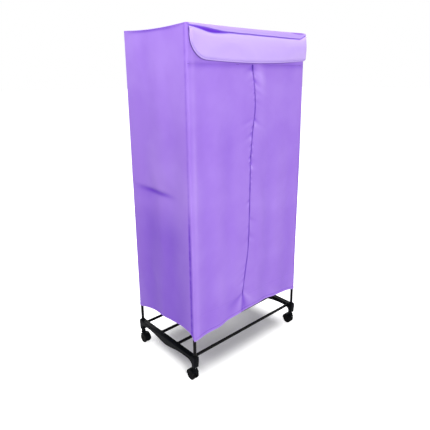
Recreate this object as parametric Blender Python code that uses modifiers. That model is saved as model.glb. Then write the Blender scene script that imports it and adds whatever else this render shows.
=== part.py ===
"""Portable clothes dryer: a castored tube frame, a zipped fabric cover and a fan heater at its base.

Lengths are in metres and +Z is up. The origin is on the floor under the middle of the frame.
The zipped front faces -Y, and +X is on the right of someone who stands in front of it.
"""

import math

import bmesh
import bpy
from mathutils import Matrix, Vector

OBJECT = "portable_clothes_dryer"

# Overall size, over the corners of the fabric cover
COVER_HALF_X = 0.3437
COVER_HALF_Y = 0.2177
COVER_TOP_Z = 1.500

# Fabric, tube stock and the gap between pieces that touch
CLOTH = 0.0012
CLOTH_GAP = 0.0005
TUBE_RADIUS = 0.007
TUBE_WALL = 0.0009
SEAT = 0.0003
CUT_OVERRUN = 0.002

# Frame layout: posts stand just inside the cover's corners, and bars and rails lie between them
COVER_POST_GAP = 0.001
BARS = 4
BAR_POST_STEP = 0.01875
POST_HALF_X = COVER_HALF_X - CLOTH - COVER_POST_GAP - TUBE_RADIUS
POST_HALF_Y = COVER_HALF_Y - CLOTH - COVER_POST_GAP - TUBE_RADIUS

# Twin-wheel caster
WHEEL_RADIUS = 0.0235
WHEEL_WIDTH = 0.0125
WHEEL_CHAMFER = 0.002
TREAD_DEPTH = 0.008
DISH_RADIUS = WHEEL_RADIUS - TREAD_DEPTH
DISH_DEPTH = 0.002
AXLE_RADIUS = 0.003
TRAIL = 0.017
WEB_THICK = 0.006
WEB_RADIUS = WHEEL_RADIUS - TREAD_DEPTH
WEB_REAR_DEG = -130
WEB_FRONT_DEG = 60
FENDER_GAP = 0.001
FENDER_WALL = 0.0026
NECK_RADIUS = 0.0105
NECK_WEB_SHARE = 0.9
NECK_RISE = 0.0099
NECK_TOP_Z = 2 * WHEEL_RADIUS + FENDER_GAP + FENDER_WALL + NECK_RISE
NECK_HEIGHT = 0.0245
NECK_BOTTOM_Z = NECK_TOP_Z - NECK_HEIGHT
FENDER_REAR_DEG = -8
FENDER_FRONT_DEG = 150
WHEEL_SIDE_GAP = 0.0005
STEM_RADIUS = 0.004
STEM_INSERT = 0.019
STEM_DROP = 0.012
STEM_SHOWN = 0.0032
COLLAR_RADIUS = 0.007
COLLAR_THICK = 0.002

# Foot bracket: a moulded rail with two legs, a belly in the middle and an arch beside each leg
LEG_BOTTOM_Z = NECK_TOP_Z + STEM_SHOWN + COLLAR_THICK + SEAT
BRACKET_THICK = 0.025
BRACKET_HEIGHT = 0.050
BRACKET_TOP_Z = LEG_BOTTOM_Z + BRACKET_HEIGHT
HEAD_RISE = 0.002
LEG_WIDTH = 0.025
LEG_FOOT_WIDTH = 0.019
LEG_CHAMFER = 0.004
BELLY_DEPTH = 0.036
BELLY_Z = BRACKET_TOP_Z - BELLY_DEPTH
BELLY_HALF = 0.075
RAIL_DEPTH = 0.0185
ARCH_Z = BRACKET_TOP_Z - RAIL_DEPTH
ARCH_WIDTH = 0.034
ARCH_DROP = 0.022
BRACKET_BEVEL = 0.0018
POST_SEAT_DEPTH = 0.029
BAR_SEAT_DEPTH = 0.012
BASE_BAR_DROP = 0.0105
BASE_BAR_Z = BRACKET_TOP_Z - BASE_BAR_DROP

# Posts: the lower half, and the upper half whose reduced end plugs into it
POST_SPLIT_Z = 0.720
SWAGE_RADIUS = 0.0054
SWAGE_LENGTH = 0.038
SWAGE_BORE = 0.0042

# Top bracket, whose spigots plug into the posts, and the rails between the two of them
TOP_BRACKET_DROP = 0.050
TOP_BRACKET_Z = COVER_TOP_Z - TOP_BRACKET_DROP
TOP_BRACKET_BEVEL = 0.0025
SPIGOT_LENGTH = 0.020
RAIL_RISE = 0.014
RAIL_Z = TOP_BRACKET_Z + RAIL_RISE

# Fabric cover
SIDE_DIP = 0.008
FRONT_DIP = 0.003
HEM_CORNER_Z = 0.198
SIDE_HEM_RISE = 0.035
FRONT_HEM_RISE = 0.034
# Place along a hem from corner to corner, and the hem's height as a share of its rise
SIDE_HEM_SHARES = ((-1.0, 0.0), (-0.93, 0.66), (-0.85, 0.93), (-0.6, 1.0), (-0.3, 0.92),
                   (0.0, 0.89), (0.3, 0.78), (0.6, 0.54), (0.85, 0.21), (1.0, 0.0))
FRONT_HEM_SHARES = ((-1.0, 0.0), (-0.9, 0.11), (-0.77, 0.2), (-0.58, 0.34), (-0.39, 0.6), (-0.18, 0.87),
                    (0.1, 1.0), (0.36, 0.89), (0.7, 0.7), (0.9, 0.44), (1.0, 0.2))
FRONT_FOLD = 0.006
SIDE_FOLD = 0.007
SIDE_CREASE = 0.005
CREASE_Z = 0.770
CREASE_HALF = 0.050
BACK_BULGE = 0.007
FOLDS = 2
FOLD_TOP_DROP = 0.100
FOLD_TOP_Z = COVER_TOP_Z - FOLD_TOP_DROP

# Zipped front: the door panels lie between the header and the lower band
DOOR_TOP_DROP = 0.1455
DOOR_TOP_Z = COVER_TOP_Z - DOOR_TOP_DROP
DOOR_BOTTOM_Z = 0.310
CALM_LEFT_X = -0.075
CALM_RIGHT_X = 0.045
CHAIN_WIDTH = 0.005
ZIP_TOP_X = 0.003
ZIP_DRIFT = 0.057
# Height on the zip and sideways place, as shares of its length and of its drift, from the top down
ZIP_SEAM_SHARES = ((0.0, 0.02), (0.09, -0.26), (0.18, -0.32), (0.27, -0.07), (0.38, 0.10),
                   (0.53, 0.16), (0.71, 0.23), (0.80, 0.35), (0.89, 0.63), (1.0, 0.96))

# Zip slider and its pull tab
SLIDER_RISE = 0.0635
SLIDER_TOP_Z = DOOR_TOP_Z + SLIDER_RISE
SLIDER_WIDTH = 0.010
SLIDER_HEIGHT = 0.015
SLIDER_THICK = 0.0032
SLIDER_BEVEL = 0.0008
SLIDER_GAP = 0.0003
PIN_DROP = 0.003
PIN_RADIUS = 0.0012
PIN_HEAD_RADIUS = 0.0022
PIN_HEAD_THICK = 0.0008
TAB_THICK = 0.0014
TAB_EYE_RADIUS = 0.0034
TAB_LENGTH = 0.028
TAB_WIDTH = 0.0052
TAB_CLEARANCE = 0.0003
TAB_NECK_DEG = 40

# Front flap
FLAP_HINGE_DROP = 0.0085
FLAP_HINGE_Z = COVER_TOP_Z - FLAP_HINGE_DROP
FLAP_CREASE_DROP = 0.0195
FLAP_LEFT_INSET = 0.0087
FLAP_LEFT_X = -COVER_HALF_X + FLAP_LEFT_INSET
FLAP_RIGHT_OVERHANG = 0.0063
FLAP_RIGHT_X = COVER_HALF_X + FLAP_RIGHT_OVERHANG
FLAP_DEPTH = 0.133
FLAP_BOTTOM_Z = FLAP_HINGE_Z - FLAP_DEPTH
FLAP_SAG = 0.014
FLAP_CORNER = 0.080
FLAP_STANDOFF = 0.0112
FLAP_FLARE = 0.005
FLAP_ROLL = 0.030
FLAP_HINGE_GAP = 0.0008
FLAP_COLUMN_POWER = 1.6

# Heater unit on the two rear base bars
HEATER_HALF_X = 0.155
HEATER_BACK_GAP = 0.0197
HEATER_BACK_Y = COVER_HALF_Y - HEATER_BACK_GAP
HEATER_DEPTH = 0.240
HEATER_FRONT_Y = HEATER_BACK_Y - HEATER_DEPTH
HEATER_WALL = 0.0025
HEATER_CORNER = 0.018
HEATER_BASE_HEIGHT = 0.050
HEATER_COVER_HEIGHT = 0.105
INTAKE_SLOTS = 9
INTAKE_SLOT_WIDTH = 0.005
INTAKE_SLOT_HEIGHT = 0.024
INTAKE_SLOT_PITCH = 0.014
OUTLET_RADIUS = 0.078
GRILLE_LIP = 0.006
GRILLE_THICK = 0.003
GRILLE_WIRE = 0.0016
GRILLE_RING_RADII = (0.026, 0.052)
GRILLE_SPOKES = 6
MOTOR_RADIUS = 0.026
MOTOR_HEIGHT = 0.038
MOTOR_NECK_RADIUS = 0.009
SHAFT_RADIUS = 0.003
SHAFT_LENGTH = 0.022
FAN_HUB_RADIUS = 0.014
FAN_HUB_HEIGHT = 0.016
FAN_RADIUS = 0.060
FAN_BLADES = 5
FAN_BLADE_CHORD = 0.030
FAN_BLADE_THICK = 0.0016
FAN_PITCH_DEG = 28
FAN_SHAFT_GAP = 0.0003
ELEMENT_HALF_X = 0.075
ELEMENT_HALF_Y = 0.034
ELEMENT_HEIGHT = 0.015
ELEMENT_WALL = 0.003
ELEMENT_FINS = 12
ELEMENT_FIN = 0.0012
ELEMENT_SEAM_RISE = 0.047
UPRIGHT_X = 0.010
UPRIGHT_HALF_Y = 0.012

# Controls on the heater's front
CONTROL_Z_RISE = 0.035
KNOB_X = 0.085
KNOB_RADIUS = 0.018
KNOB_DEPTH = 0.016
KNOB_SKIRT = 0.003
KNOB_SKIRT_RIM_SHARE = 0.6
KNOB_GRIP_ROOT_SHARE = 0.8
KNOB_GRIP_EDGE_SHARE = 0.72
KNOB_GRIP_FACE_SHARE = 0.6
KNOB_POINTER_SHARES = (-0.5, 0.85)
KNOB_GRIP_WIDTH = 0.006
KNOB_GRIP_DEPTH = 0.003
SPINDLE_RADIUS = 0.003
SPINDLE_LENGTH = 0.010
ROCKER_X = -0.085
ROCKER_HALF_X = 0.0065
ROCKER_HALF_Z = 0.010
ROCKER_DEPTH = 0.010
ROCKER_PROUD = 0.0025
ROCKER_TILT_DEG = 9
ROCKER_CLEARANCE = 0.0012
LENS_X = -0.055
LENS_RADIUS = 0.004
LENS_DEPTH = 0.006
LENS_DOME = 0.0015
LENS_DOME_SHARES = (0.6, 0.7)
GLAND_X = 0.100
GLAND_Z_RISE = 0.024
GLAND_RADIUS = 0.008
GLAND_FLANGE_RADIUS = 0.011
GLAND_FLANGE_THICK = 0.0025
GLAND_BORE = 0.0038
GLAND_LENGTH = 0.012

# Facets
ROUND = 16
SMALL_ROUND = 12
ARC_STEPS = 4
BELLY_STEPS = 12
DOOR_COLUMNS = 8
DOOR_ROWS = 18
SIDE_COLUMNS = 8
SIDE_ROWS = 18
BACK_ROWS = 12
BAND_COLUMNS = 16
BAND_ROWS = 3
TOP_COLUMNS = 10
TOP_ROWS = 8
FLAP_COLUMNS = 16
FLAP_ROWS = 6
WELD = 0.00001
FLAT_DEG = 0.05
EDGE_DEG = 50
CROWN_EDGE_DEG = 70
SHARP_DEG = 35

PARTS = None
CUTTERS = None


# Scene and materials

def clear_scene():
    for old in list(bpy.data.objects):
        bpy.data.objects.remove(old, do_unlink=True)


def new_collection(name):
    made = bpy.data.collections.new(name)
    bpy.context.scene.collection.children.link(made)
    return made


def linear(channel):
    """One sRGB channel from 0 to 255 as the linear value that a shader takes."""
    share = channel / 255
    return share / 12.92 if share <= 0.04045 else ((share + 0.055) / 1.055) ** 2.4


def paint(name, colour, roughness, metallic=0.0):
    mat = bpy.data.materials.new(name)
    mat.use_nodes = True
    shader = mat.node_tree.nodes["Principled BSDF"]
    shader.inputs["Base Color"].default_value = [linear(c) for c in colour] + [1]
    shader.inputs["Roughness"].default_value = roughness
    shader.inputs["Metallic"].default_value = metallic
    return mat


# Modelling helpers

def keep(obj, mat, name=None):
    """Files an object with the parts under its own name, material and collection."""
    for owner in list(obj.users_collection):
        owner.objects.unlink(obj)
    PARTS.objects.link(obj)
    if name:
        obj.name = name
        obj.data.name = name
    obj.data.materials.clear()
    obj.data.materials.append(mat.copy())
    obj.data.materials[0].name = obj.name
    obj.data.shade_smooth()
    obj.data.set_sharp_from_angle(angle=math.radians(SHARP_DEG))
    return obj


def as_cutter(obj):
    for owner in list(obj.users_collection):
        owner.objects.unlink(obj)
    CUTTERS.objects.link(obj)
    obj.hide_render = True
    obj.display_type = "WIRE"
    return obj


def new_object(name, mesh):
    obj = bpy.data.objects.new(name, mesh)
    bpy.context.scene.collection.objects.link(obj)
    return obj


def block(low, high, name="block"):
    """A box between two corners, from the cube primitive, with its size in its mesh."""
    low, high = Vector(low), Vector(high)
    bpy.ops.mesh.primitive_cube_add(size=1, location=(0, 0, 0))
    obj = bpy.context.object
    obj.name = name
    size = high - low
    obj.data.transform(Matrix.Diagonal((size.x, size.y, size.z, 1)))
    obj.data.transform(Matrix.Translation((low + high) / 2))
    return obj


def rod(start, end, radius, sides=ROUND, name="rod"):
    """A closed cylinder from one point to another."""
    start, end = Vector(start), Vector(end)
    along = end - start
    bpy.ops.mesh.primitive_cylinder_add(vertices=sides, radius=radius, depth=along.length)
    obj = bpy.context.object
    obj.name = name
    turn = Vector((0, 0, 1)).rotation_difference(along).to_matrix().to_4x4()
    obj.data.transform(Matrix.Translation((start + end) / 2) @ turn)
    return obj


def turned(profile, steps=ROUND, closed=False, name="turned"):
    """A profile of radius and height turned about Z. It runs down the outer side."""
    mesh = bpy.data.meshes.new(name)
    edges = [(i, i + 1) for i in range(len(profile) - 1)]
    if closed:
        edges.append((len(profile) - 1, 0))
    mesh.from_pydata([(r, 0, z) for r, z in profile], edges, [])
    obj = new_object(name, mesh)
    screw = obj.modifiers.new("turn", "SCREW")
    screw.angle = math.tau
    screw.steps = steps
    screw.render_steps = steps
    screw.use_merge_vertices = True
    screw.merge_threshold = WELD
    return solid(obj)


def flat_shape(points, thickness, name="flat"):
    """A closed outline in the XY plane with the thickness shared to both sides of it."""
    curve = bpy.data.curves.new(name, "CURVE")
    curve.dimensions = "2D"
    curve.fill_mode = "BOTH"
    curve.extrude = thickness / 2
    spline = curve.splines.new("POLY")
    spline.points.add(len(points) - 1)
    for point, (x, y) in zip(spline.points, points):
        point.co = (x, y, 0, 1)
    spline.use_cyclic_u = True
    shape = solid(new_object(name, curve))
    work = bmesh.new()
    work.from_mesh(shape.data)
    bmesh.ops.dissolve_limit(work, angle_limit=math.radians(FLAT_DEG), verts=work.verts, edges=work.edges)
    work.to_mesh(shape.data)
    work.free()
    return shape


def solid(obj):
    """The object as the viewport shows it, made into a plain mesh object."""
    bpy.context.view_layer.update()
    seen = obj.evaluated_get(bpy.context.evaluated_depsgraph_get())
    mesh = bpy.data.meshes.new_from_object(seen)
    made = new_object(obj.name, mesh)
    made.matrix_world = obj.matrix_world
    bpy.data.objects.remove(obj, do_unlink=True)
    work = bmesh.new()
    work.from_mesh(mesh)
    bmesh.ops.remove_doubles(work, verts=work.verts, dist=WELD)
    bmesh.ops.recalc_face_normals(work, faces=work.faces)
    work.to_mesh(mesh)
    work.free()
    return made


def moved(obj, matrix):
    obj.data.transform(matrix)
    return obj


def bevel(obj, width, segments=1, angle=EDGE_DEG):
    mod = obj.modifiers.new("edges", "BEVEL")
    mod.width = width
    mod.segments = segments
    mod.limit_method = "ANGLE"
    mod.angle_limit = math.radians(angle)
    return obj


def combine(obj, other, operation):
    mod = obj.modifiers.new(operation.lower(), "BOOLEAN")
    mod.operation = operation
    mod.solver = "EXACT"
    mod.object = as_cutter(other)
    return obj


def cut(obj, *cutters):
    for cutter in cutters:
        combine(obj, cutter, "DIFFERENCE")
    return obj


def join(obj, *others):
    for other in others:
        combine(obj, other, "UNION")
    return obj


def hang_on(obj, pivot):
    """Puts the object's origin on its joint's axis and leaves its shape where it is."""
    pivot = Vector(pivot)
    obj.data.transform(Matrix.Translation(-pivot))
    obj.location = pivot
    return obj


def sheet(name, columns, rows, point, mat, pivot=(0, 0, 0)):
    """A cloth panel: a grid bent by point(u, v), with the cloth's thickness behind its face."""
    work = bmesh.new()
    bmesh.ops.create_grid(work, x_segments=columns, y_segments=rows, size=1)
    for vert in work.verts:
        vert.co = Vector(point((vert.co.x + 1) / 2, (vert.co.y + 1) / 2)) - Vector(pivot)
    mesh = bpy.data.meshes.new(name)
    work.to_mesh(mesh)
    work.free()
    obj = new_object(name, mesh)
    obj.location = pivot
    mod = obj.modifiers.new("cloth", "SOLIDIFY")
    mod.thickness = CLOTH
    mod.offset = -1
    mod.use_even_offset = True
    return keep(obj, mat, name)


def mix(start, end, share):
    return start + (end - start) * share


def read_shares(table, share):
    """The value at a share, on a smooth curve through the table's points."""
    share = min(max(share, table[0][0]), table[-1][0])
    i = max(k for k in range(len(table) - 1) if table[k][0] <= share)
    (low, start), (high, end) = table[i], table[i + 1]
    before, after = table[max(i - 1, 0)], table[min(i + 2, len(table) - 1)]
    span = high - low
    t = (share - low) / span
    leave = span * (end - before[1]) / (high - before[0])
    arrive = span * (after[1] - start) / (after[0] - low)
    return (start * (1 + 2 * t) * (1 - t) ** 2 + leave * t * (1 - t) ** 2
            + end * t * t * (3 - 2 * t) + arrive * t * t * (t - 1))


def arc(centre, radius, first_deg, last_deg, steps=ARC_STEPS):
    """Points of an arc in the plane of an outline."""
    points = []
    for i in range(steps + 1):
        angle = math.radians(mix(first_deg, last_deg, i / steps))
        points.append((centre[0] + radius * math.cos(angle), centre[1] + radius * math.sin(angle)))
    return points


# An outline's X and Y become the world's Y and Z, and its thickness lies along X
SIDE_VIEW = Matrix(((0, 0, 1, 0), (1, 0, 0, 0), (0, 1, 0, 0), (0, 0, 0, 1)))
# An outline's X and Y become the world's X and Z, and the end of a turned shape faces the front
FRONT_VIEW = Matrix(((1, 0, 0, 0), (0, 0, -1, 0), (0, 1, 0, 0), (0, 0, 0, 1)))
# The axis of a turned shape lies along X
ALONG_X = Matrix(((0, 0, 1, 0), (0, 1, 0, 0), (-1, 0, 0, 0), (0, 0, 0, 1)))


# Frame

def bar_places():
    """Y of the four bars at the base, and of the four rails at the top, front first."""
    reach = POST_HALF_Y - BAR_POST_STEP
    return [mix(-reach, reach, i / (BARS - 1)) for i in range(BARS)]


def belly_z(y):
    return ARCH_Z - (ARCH_Z - BELLY_Z) * math.exp(-((y / BELLY_HALF) ** 2))


def bracket_half_outline():
    """Half of the foot bracket, from the top beside the post round the leg to the middle of the belly."""
    outer = POST_HALF_Y + LEG_WIDTH / 2
    inner = POST_HALF_Y - LEG_WIDTH / 2
    head = BRACKET_TOP_Z + HEAD_RISE
    foot_outer = POST_HALF_Y + LEG_FOOT_WIDTH / 2
    foot_inner = POST_HALF_Y - LEG_FOOT_WIDTH / 2
    points = [(inner - HEAD_RISE, BRACKET_TOP_Z), (inner, head)]
    points += [(outer - LEG_CHAMFER, head), (outer, head - LEG_CHAMFER), (outer, ARCH_Z)]
    points += [(foot_outer, LEG_BOTTOM_Z + LEG_CHAMFER), (foot_outer - LEG_CHAMFER, LEG_BOTTOM_Z)]
    points += [(foot_inner + LEG_CHAMFER, LEG_BOTTOM_Z), (foot_inner, LEG_BOTTOM_Z + LEG_CHAMFER)]
    arch_end = foot_inner - ARCH_WIDTH
    drop = belly_z(arch_end) - ARCH_Z + ARCH_DROP
    points += [(arch_end + ARCH_WIDTH * y, ARCH_Z - ARCH_DROP + drop * z) for y, z in arc((0, 0), 1, 0, 90)]
    steps = BELLY_STEPS // 2
    points += [(y, belly_z(y)) for y in (mix(arch_end, 0, (i + 1) / steps) for i in range(steps))]
    return points


def build_foot_brackets(plastic):
    half = bracket_half_outline()
    outline = half + [(-y, z) for y, z in reversed(half[:-1])]
    body = moved(flat_shape(outline, BRACKET_THICK, "foot_bracket"), SIDE_VIEW)
    bevel(body, BRACKET_BEVEL)
    reach = BRACKET_THICK / 2
    head = BRACKET_TOP_Z + HEAD_RISE
    for side in (-1, 1):
        y = side * POST_HALF_Y
        top, floor = head + CUT_OVERRUN, head - POST_SEAT_DEPTH
        cut(body, rod((0, y, floor), (0, y, top), TUBE_RADIUS + SEAT, name="post_seat"))
        low, roof = LEG_BOTTOM_Z - CUT_OVERRUN, LEG_BOTTOM_Z + STEM_INSERT + SEAT
        cut(body, rod((0, y, low), (0, y, roof), STEM_RADIUS + SEAT, SMALL_ROUND, "stem_seat"))
    for y in bar_places():
        start, end = (reach - BAR_SEAT_DEPTH, y, BASE_BAR_Z), (reach + CUT_OVERRUN, y, BASE_BAR_Z)
        cut(body, rod(start, end, TUBE_RADIUS + SEAT, name="bar_seat"))
    body = solid(body)
    right = new_object("foot_bracket_right", body.data.copy())
    moved(body, Matrix.Translation((-POST_HALF_X, 0, 0)))
    moved(right, Matrix.Translation((POST_HALF_X, 0, 0)) @ Matrix.Rotation(math.pi, 4, "Z"))
    keep(body, plastic, "foot_bracket_left")
    keep(right, plastic, "foot_bracket_right")


def tube(name, length, mat):
    bore = TUBE_RADIUS - TUBE_WALL
    profile = [(TUBE_RADIUS, length), (TUBE_RADIUS, 0), (bore, 0), (bore, length)]
    return keep(turned(profile, closed=True, name=name), mat, name)


def build_bars(steel):
    """Base bars and top rails, cut from the same tube to the same length."""
    reach = POST_HALF_X - BRACKET_THICK / 2 + BAR_SEAT_DEPTH - SEAT
    base_names = ["base_bar_front", "base_bar_mid_front", "base_bar_mid_rear", "base_bar_rear"]
    top_names = ["top_rail_front", "hanging_rail_front", "hanging_rail_rear", "top_rail_rear"]
    for names, z in ((base_names, BASE_BAR_Z), (top_names, RAIL_Z)):
        for name, y in zip(names, bar_places()):
            bar = tube(name, 2 * reach, steel)
            moved(bar, Matrix.Translation((-reach, y, z)) @ ALONG_X)


def post_corners():
    for side, x in (("left", -POST_HALF_X), ("right", POST_HALF_X)):
        for end, y in (("front", -POST_HALF_Y), ("rear", POST_HALF_Y)):
            yield f"{end}_{side}", x, y


def build_posts(steel):
    foot = BRACKET_TOP_Z + HEAD_RISE - POST_SEAT_DEPTH + SEAT
    top = TOP_BRACKET_Z - SEAT
    shoulder = POST_SPLIT_Z + SEAT
    bore = TUBE_RADIUS - TUBE_WALL
    for corner, x, y in post_corners():
        lower = tube(f"lower_post_{corner}", POST_SPLIT_Z - foot, steel)
        moved(lower, Matrix.Translation((x, y, foot)))
        profile = [(TUBE_RADIUS, top), (TUBE_RADIUS, shoulder), (SWAGE_RADIUS, shoulder)]
        profile += [(SWAGE_RADIUS, POST_SPLIT_Z - SWAGE_LENGTH), (SWAGE_BORE, POST_SPLIT_Z - SWAGE_LENGTH)]
        profile += [(SWAGE_BORE, shoulder + TUBE_WALL), (bore, shoulder + 2 * TUBE_WALL), (bore, top)]
        name = f"upper_post_{corner}"
        upper = keep(turned(profile, closed=True, name=name), steel, name)
        moved(upper, Matrix.Translation((x, y, 0)))


# Cover surfaces

def top_z(x, y):
    """Outer face of the top sheet, which sags between the four corners."""
    return (COVER_TOP_Z - SIDE_DIP * (1 - (y / COVER_HALF_Y) ** 2)
            - FRONT_DIP * (1 - (x / COVER_HALF_X) ** 2))


def side_hem_z(y):
    return HEM_CORNER_Z + SIDE_HEM_RISE * read_shares(SIDE_HEM_SHARES, y / COVER_HALF_Y)


def front_hem_z(x):
    """Hem height at the front, and at the back too."""
    return HEM_CORNER_Z + FRONT_HEM_RISE * read_shares(FRONT_HEM_SHARES, x / COVER_HALF_X)


def fold_wave(share):
    """Folds between two held edges: 0 at both, and 1 at the bottom of each fold."""
    share = min(max(share, 0), 1)
    return math.sin(math.pi * FOLDS * share) ** 2


def fold_depth_share(z):
    """Folds are pulled flat below the frame's top and hang deepest at the hem."""
    share = (FOLD_TOP_Z - z) / (FOLD_TOP_Z - HEM_CORNER_Z)
    return math.sin(math.pi / 2 * min(max(share, 0), 1))


def between_posts_y():
    """Y of the inner side of a post: the cloth is straight from there to its corner."""
    return POST_HALF_Y - TUBE_RADIUS


def between_posts_x():
    return POST_HALF_X - TUBE_RADIUS


def past_posts(u, columns, corner, inner):
    """Place from -corner to corner, with one column of the grid for the strip at each post."""
    column = u * columns
    if column < 1:
        return mix(-corner, -inner, column)
    if column > columns - 1:
        return mix(inner, corner, column - columns + 1)
    return mix(-inner, inner, (column - 1) / (columns - 2))


def front_inner_x():
    """Where the front pieces meet the inside of the side panels."""
    return COVER_HALF_X - CLOTH - CLOTH_GAP


def front_y(x, z):
    """Outer face of the front: folds beside a calm strip that the zip slider runs on."""
    edge = between_posts_x()
    if x < CALM_LEFT_X:
        wave = fold_wave((x + edge) / (CALM_LEFT_X + edge))
    elif x > CALM_RIGHT_X:
        wave = fold_wave((edge - x) / (edge - CALM_RIGHT_X))
    else:
        wave = 0
    return -COVER_HALF_Y + FRONT_FOLD * wave * fold_depth_share(z)


def side_recess(y, z):
    """How far a side panel lies inside its corners: folds, and the crease of the packed cover."""
    edge = between_posts_y()
    share = (y + edge) / (2 * edge)
    wave = SIDE_FOLD * fold_wave(share) * fold_depth_share(z)
    crease = SIDE_CREASE * math.exp(-(((z - CREASE_Z) / CREASE_HALF) ** 2))
    return wave + crease * math.sin(math.pi * min(max(share, 0), 1))


def side_top(x, y):
    return top_z(x, y) - CLOTH - CLOTH_GAP


def zip_length():
    return DOOR_TOP_Z - DOOR_BOTTOM_Z


def zip_x(z):
    """Sideways place of the zip at a height."""
    return ZIP_TOP_X - ZIP_DRIFT * read_shares(ZIP_SEAM_SHARES, (DOOR_TOP_Z - z) / zip_length())


def build_top_brackets(plastic):
    """A moulded beam over each pair of posts, with a top that follows the sagging cover."""
    inner_face = BRACKET_THICK / 2
    outer_face = COVER_HALF_X - CLOTH - CLOTH_GAP - POST_HALF_X
    end = POST_HALF_Y + TUBE_RADIUS

    def crown(y):
        return top_z(POST_HALF_X - inner_face, y) - CLOTH - SEAT

    outline = [(-end, TOP_BRACKET_Z), (end, TOP_BRACKET_Z)]
    outline += [(y, crown(y)) for y in (mix(end, -end, i / TOP_ROWS) for i in range(TOP_ROWS + 1))]
    body = moved(flat_shape(outline, inner_face + outer_face, "top_bracket"), SIDE_VIEW)
    moved(body, Matrix.Translation(((inner_face - outer_face) / 2, 0, 0)))
    bevel(body, TOP_BRACKET_BEVEL, angle=CROWN_EDGE_DEG)
    for side in (-1, 1):
        y = side * POST_HALF_Y
        low, high = TOP_BRACKET_Z - SPIGOT_LENGTH, TOP_BRACKET_Z + TOP_BRACKET_BEVEL
        join(body, rod((0, y, low), (0, y, high), TUBE_RADIUS - TUBE_WALL - SEAT, SMALL_ROUND, "spigot"))
    for y in bar_places():
        start, stop = (inner_face - BAR_SEAT_DEPTH, y, RAIL_Z), (inner_face + CUT_OVERRUN, y, RAIL_Z)
        cut(body, rod(start, stop, TUBE_RADIUS + SEAT, name="rail_seat"))
    body = solid(body)
    right = new_object("top_bracket_right", body.data.copy())
    moved(body, Matrix.Translation((-POST_HALF_X, 0, 0)))
    moved(right, Matrix.Translation((POST_HALF_X, 0, 0)) @ Matrix.Rotation(math.pi, 4, "Z"))
    keep(body, plastic, "top_bracket_left")
    keep(right, plastic, "top_bracket_right")


def build_cover(cloth):
    """Sides, back, top, header and lower band of the sewn cover."""
    edge = front_inner_x()

    def side(x_sign):
        def point(u, v):
            y = x_sign * past_posts(u, SIDE_COLUMNS, COVER_HALF_Y, between_posts_y())
            z = mix(side_hem_z(y), side_top(COVER_HALF_X, y), v)
            return x_sign * (COVER_HALF_X - side_recess(y, z)), y, z
        return point

    def back(u, v):
        x = mix(edge, -edge, u)
        z = mix(front_hem_z(x), side_top(x, COVER_HALF_Y), v)
        bulge = BACK_BULGE * (1 - (x / edge) ** 2) * fold_depth_share(z)
        return x, COVER_HALF_Y + bulge, z

    def top(u, v):
        x = mix(-COVER_HALF_X, COVER_HALF_X, u)
        y = mix(-COVER_HALF_Y, COVER_HALF_Y, v)
        return x, y, top_z(x, y)

    def header(u, v):
        x = past_posts(u, BAND_COLUMNS, edge, between_posts_x())
        z = mix(DOOR_TOP_Z + CLOTH_GAP, side_top(x, -COVER_HALF_Y), v)
        return x, front_y(x, z), z

    def lower_band(u, v):
        x = past_posts(u, BAND_COLUMNS, edge, between_posts_x())
        z = mix(front_hem_z(x), DOOR_BOTTOM_Z - CLOTH_GAP, v)
        return x, front_y(x, z), z

    sheet("cover_side_left", SIDE_COLUMNS, SIDE_ROWS, side(-1), cloth)
    sheet("cover_side_right", SIDE_COLUMNS, SIDE_ROWS, side(1), cloth)
    sheet("cover_back", SIDE_COLUMNS, BACK_ROWS, back, cloth)
    sheet("cover_top", TOP_COLUMNS, TOP_ROWS, top, cloth)
    sheet("cover_header", BAND_COLUMNS, BAND_ROWS, header, cloth)
    sheet("cover_lower_band", BAND_COLUMNS, BAND_ROWS, lower_band, cloth)


def build_doors(cloth, chain):
    """The two halves of the zipped front, each with its half of the zip along its free edge."""
    edge = front_inner_x()
    inset = CHAIN_WIDTH + SEAT

    def door(x_sign):
        def point(u, v):
            z = mix(DOOR_BOTTOM_Z, DOOR_TOP_Z, v)
            free, held, post = zip_x(z) + x_sign * inset, x_sign * edge, x_sign * between_posts_x()
            column = DOOR_COLUMNS * (u if x_sign < 0 else 1 - u)
            if column < 1:
                x = mix(held, post, column)
            else:
                x = mix(post, free, (column - 1) / (DOOR_COLUMNS - 1))
            return x, front_y(x, z), z
        return point

    def chain_half(x_sign):
        def point(u, v):
            z = mix(DOOR_BOTTOM_Z, DOOR_TOP_Z, v)
            near, far = SEAT / 2, CHAIN_WIDTH
            x = zip_x(z) + (mix(-far, -near, u) if x_sign < 0 else mix(near, far, u))
            return x, -COVER_HALF_Y, z
        return point

    for side, x_sign in (("left", -1), ("right", 1)):
        pivot = (x_sign * edge, -COVER_HALF_Y, DOOR_BOTTOM_Z)
        sheet(f"front_door_{side}", DOOR_COLUMNS, DOOR_ROWS, door(x_sign), cloth, pivot)
        sheet(f"zip_chain_{side}", 1, DOOR_ROWS, chain_half(x_sign), chain, pivot)


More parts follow.
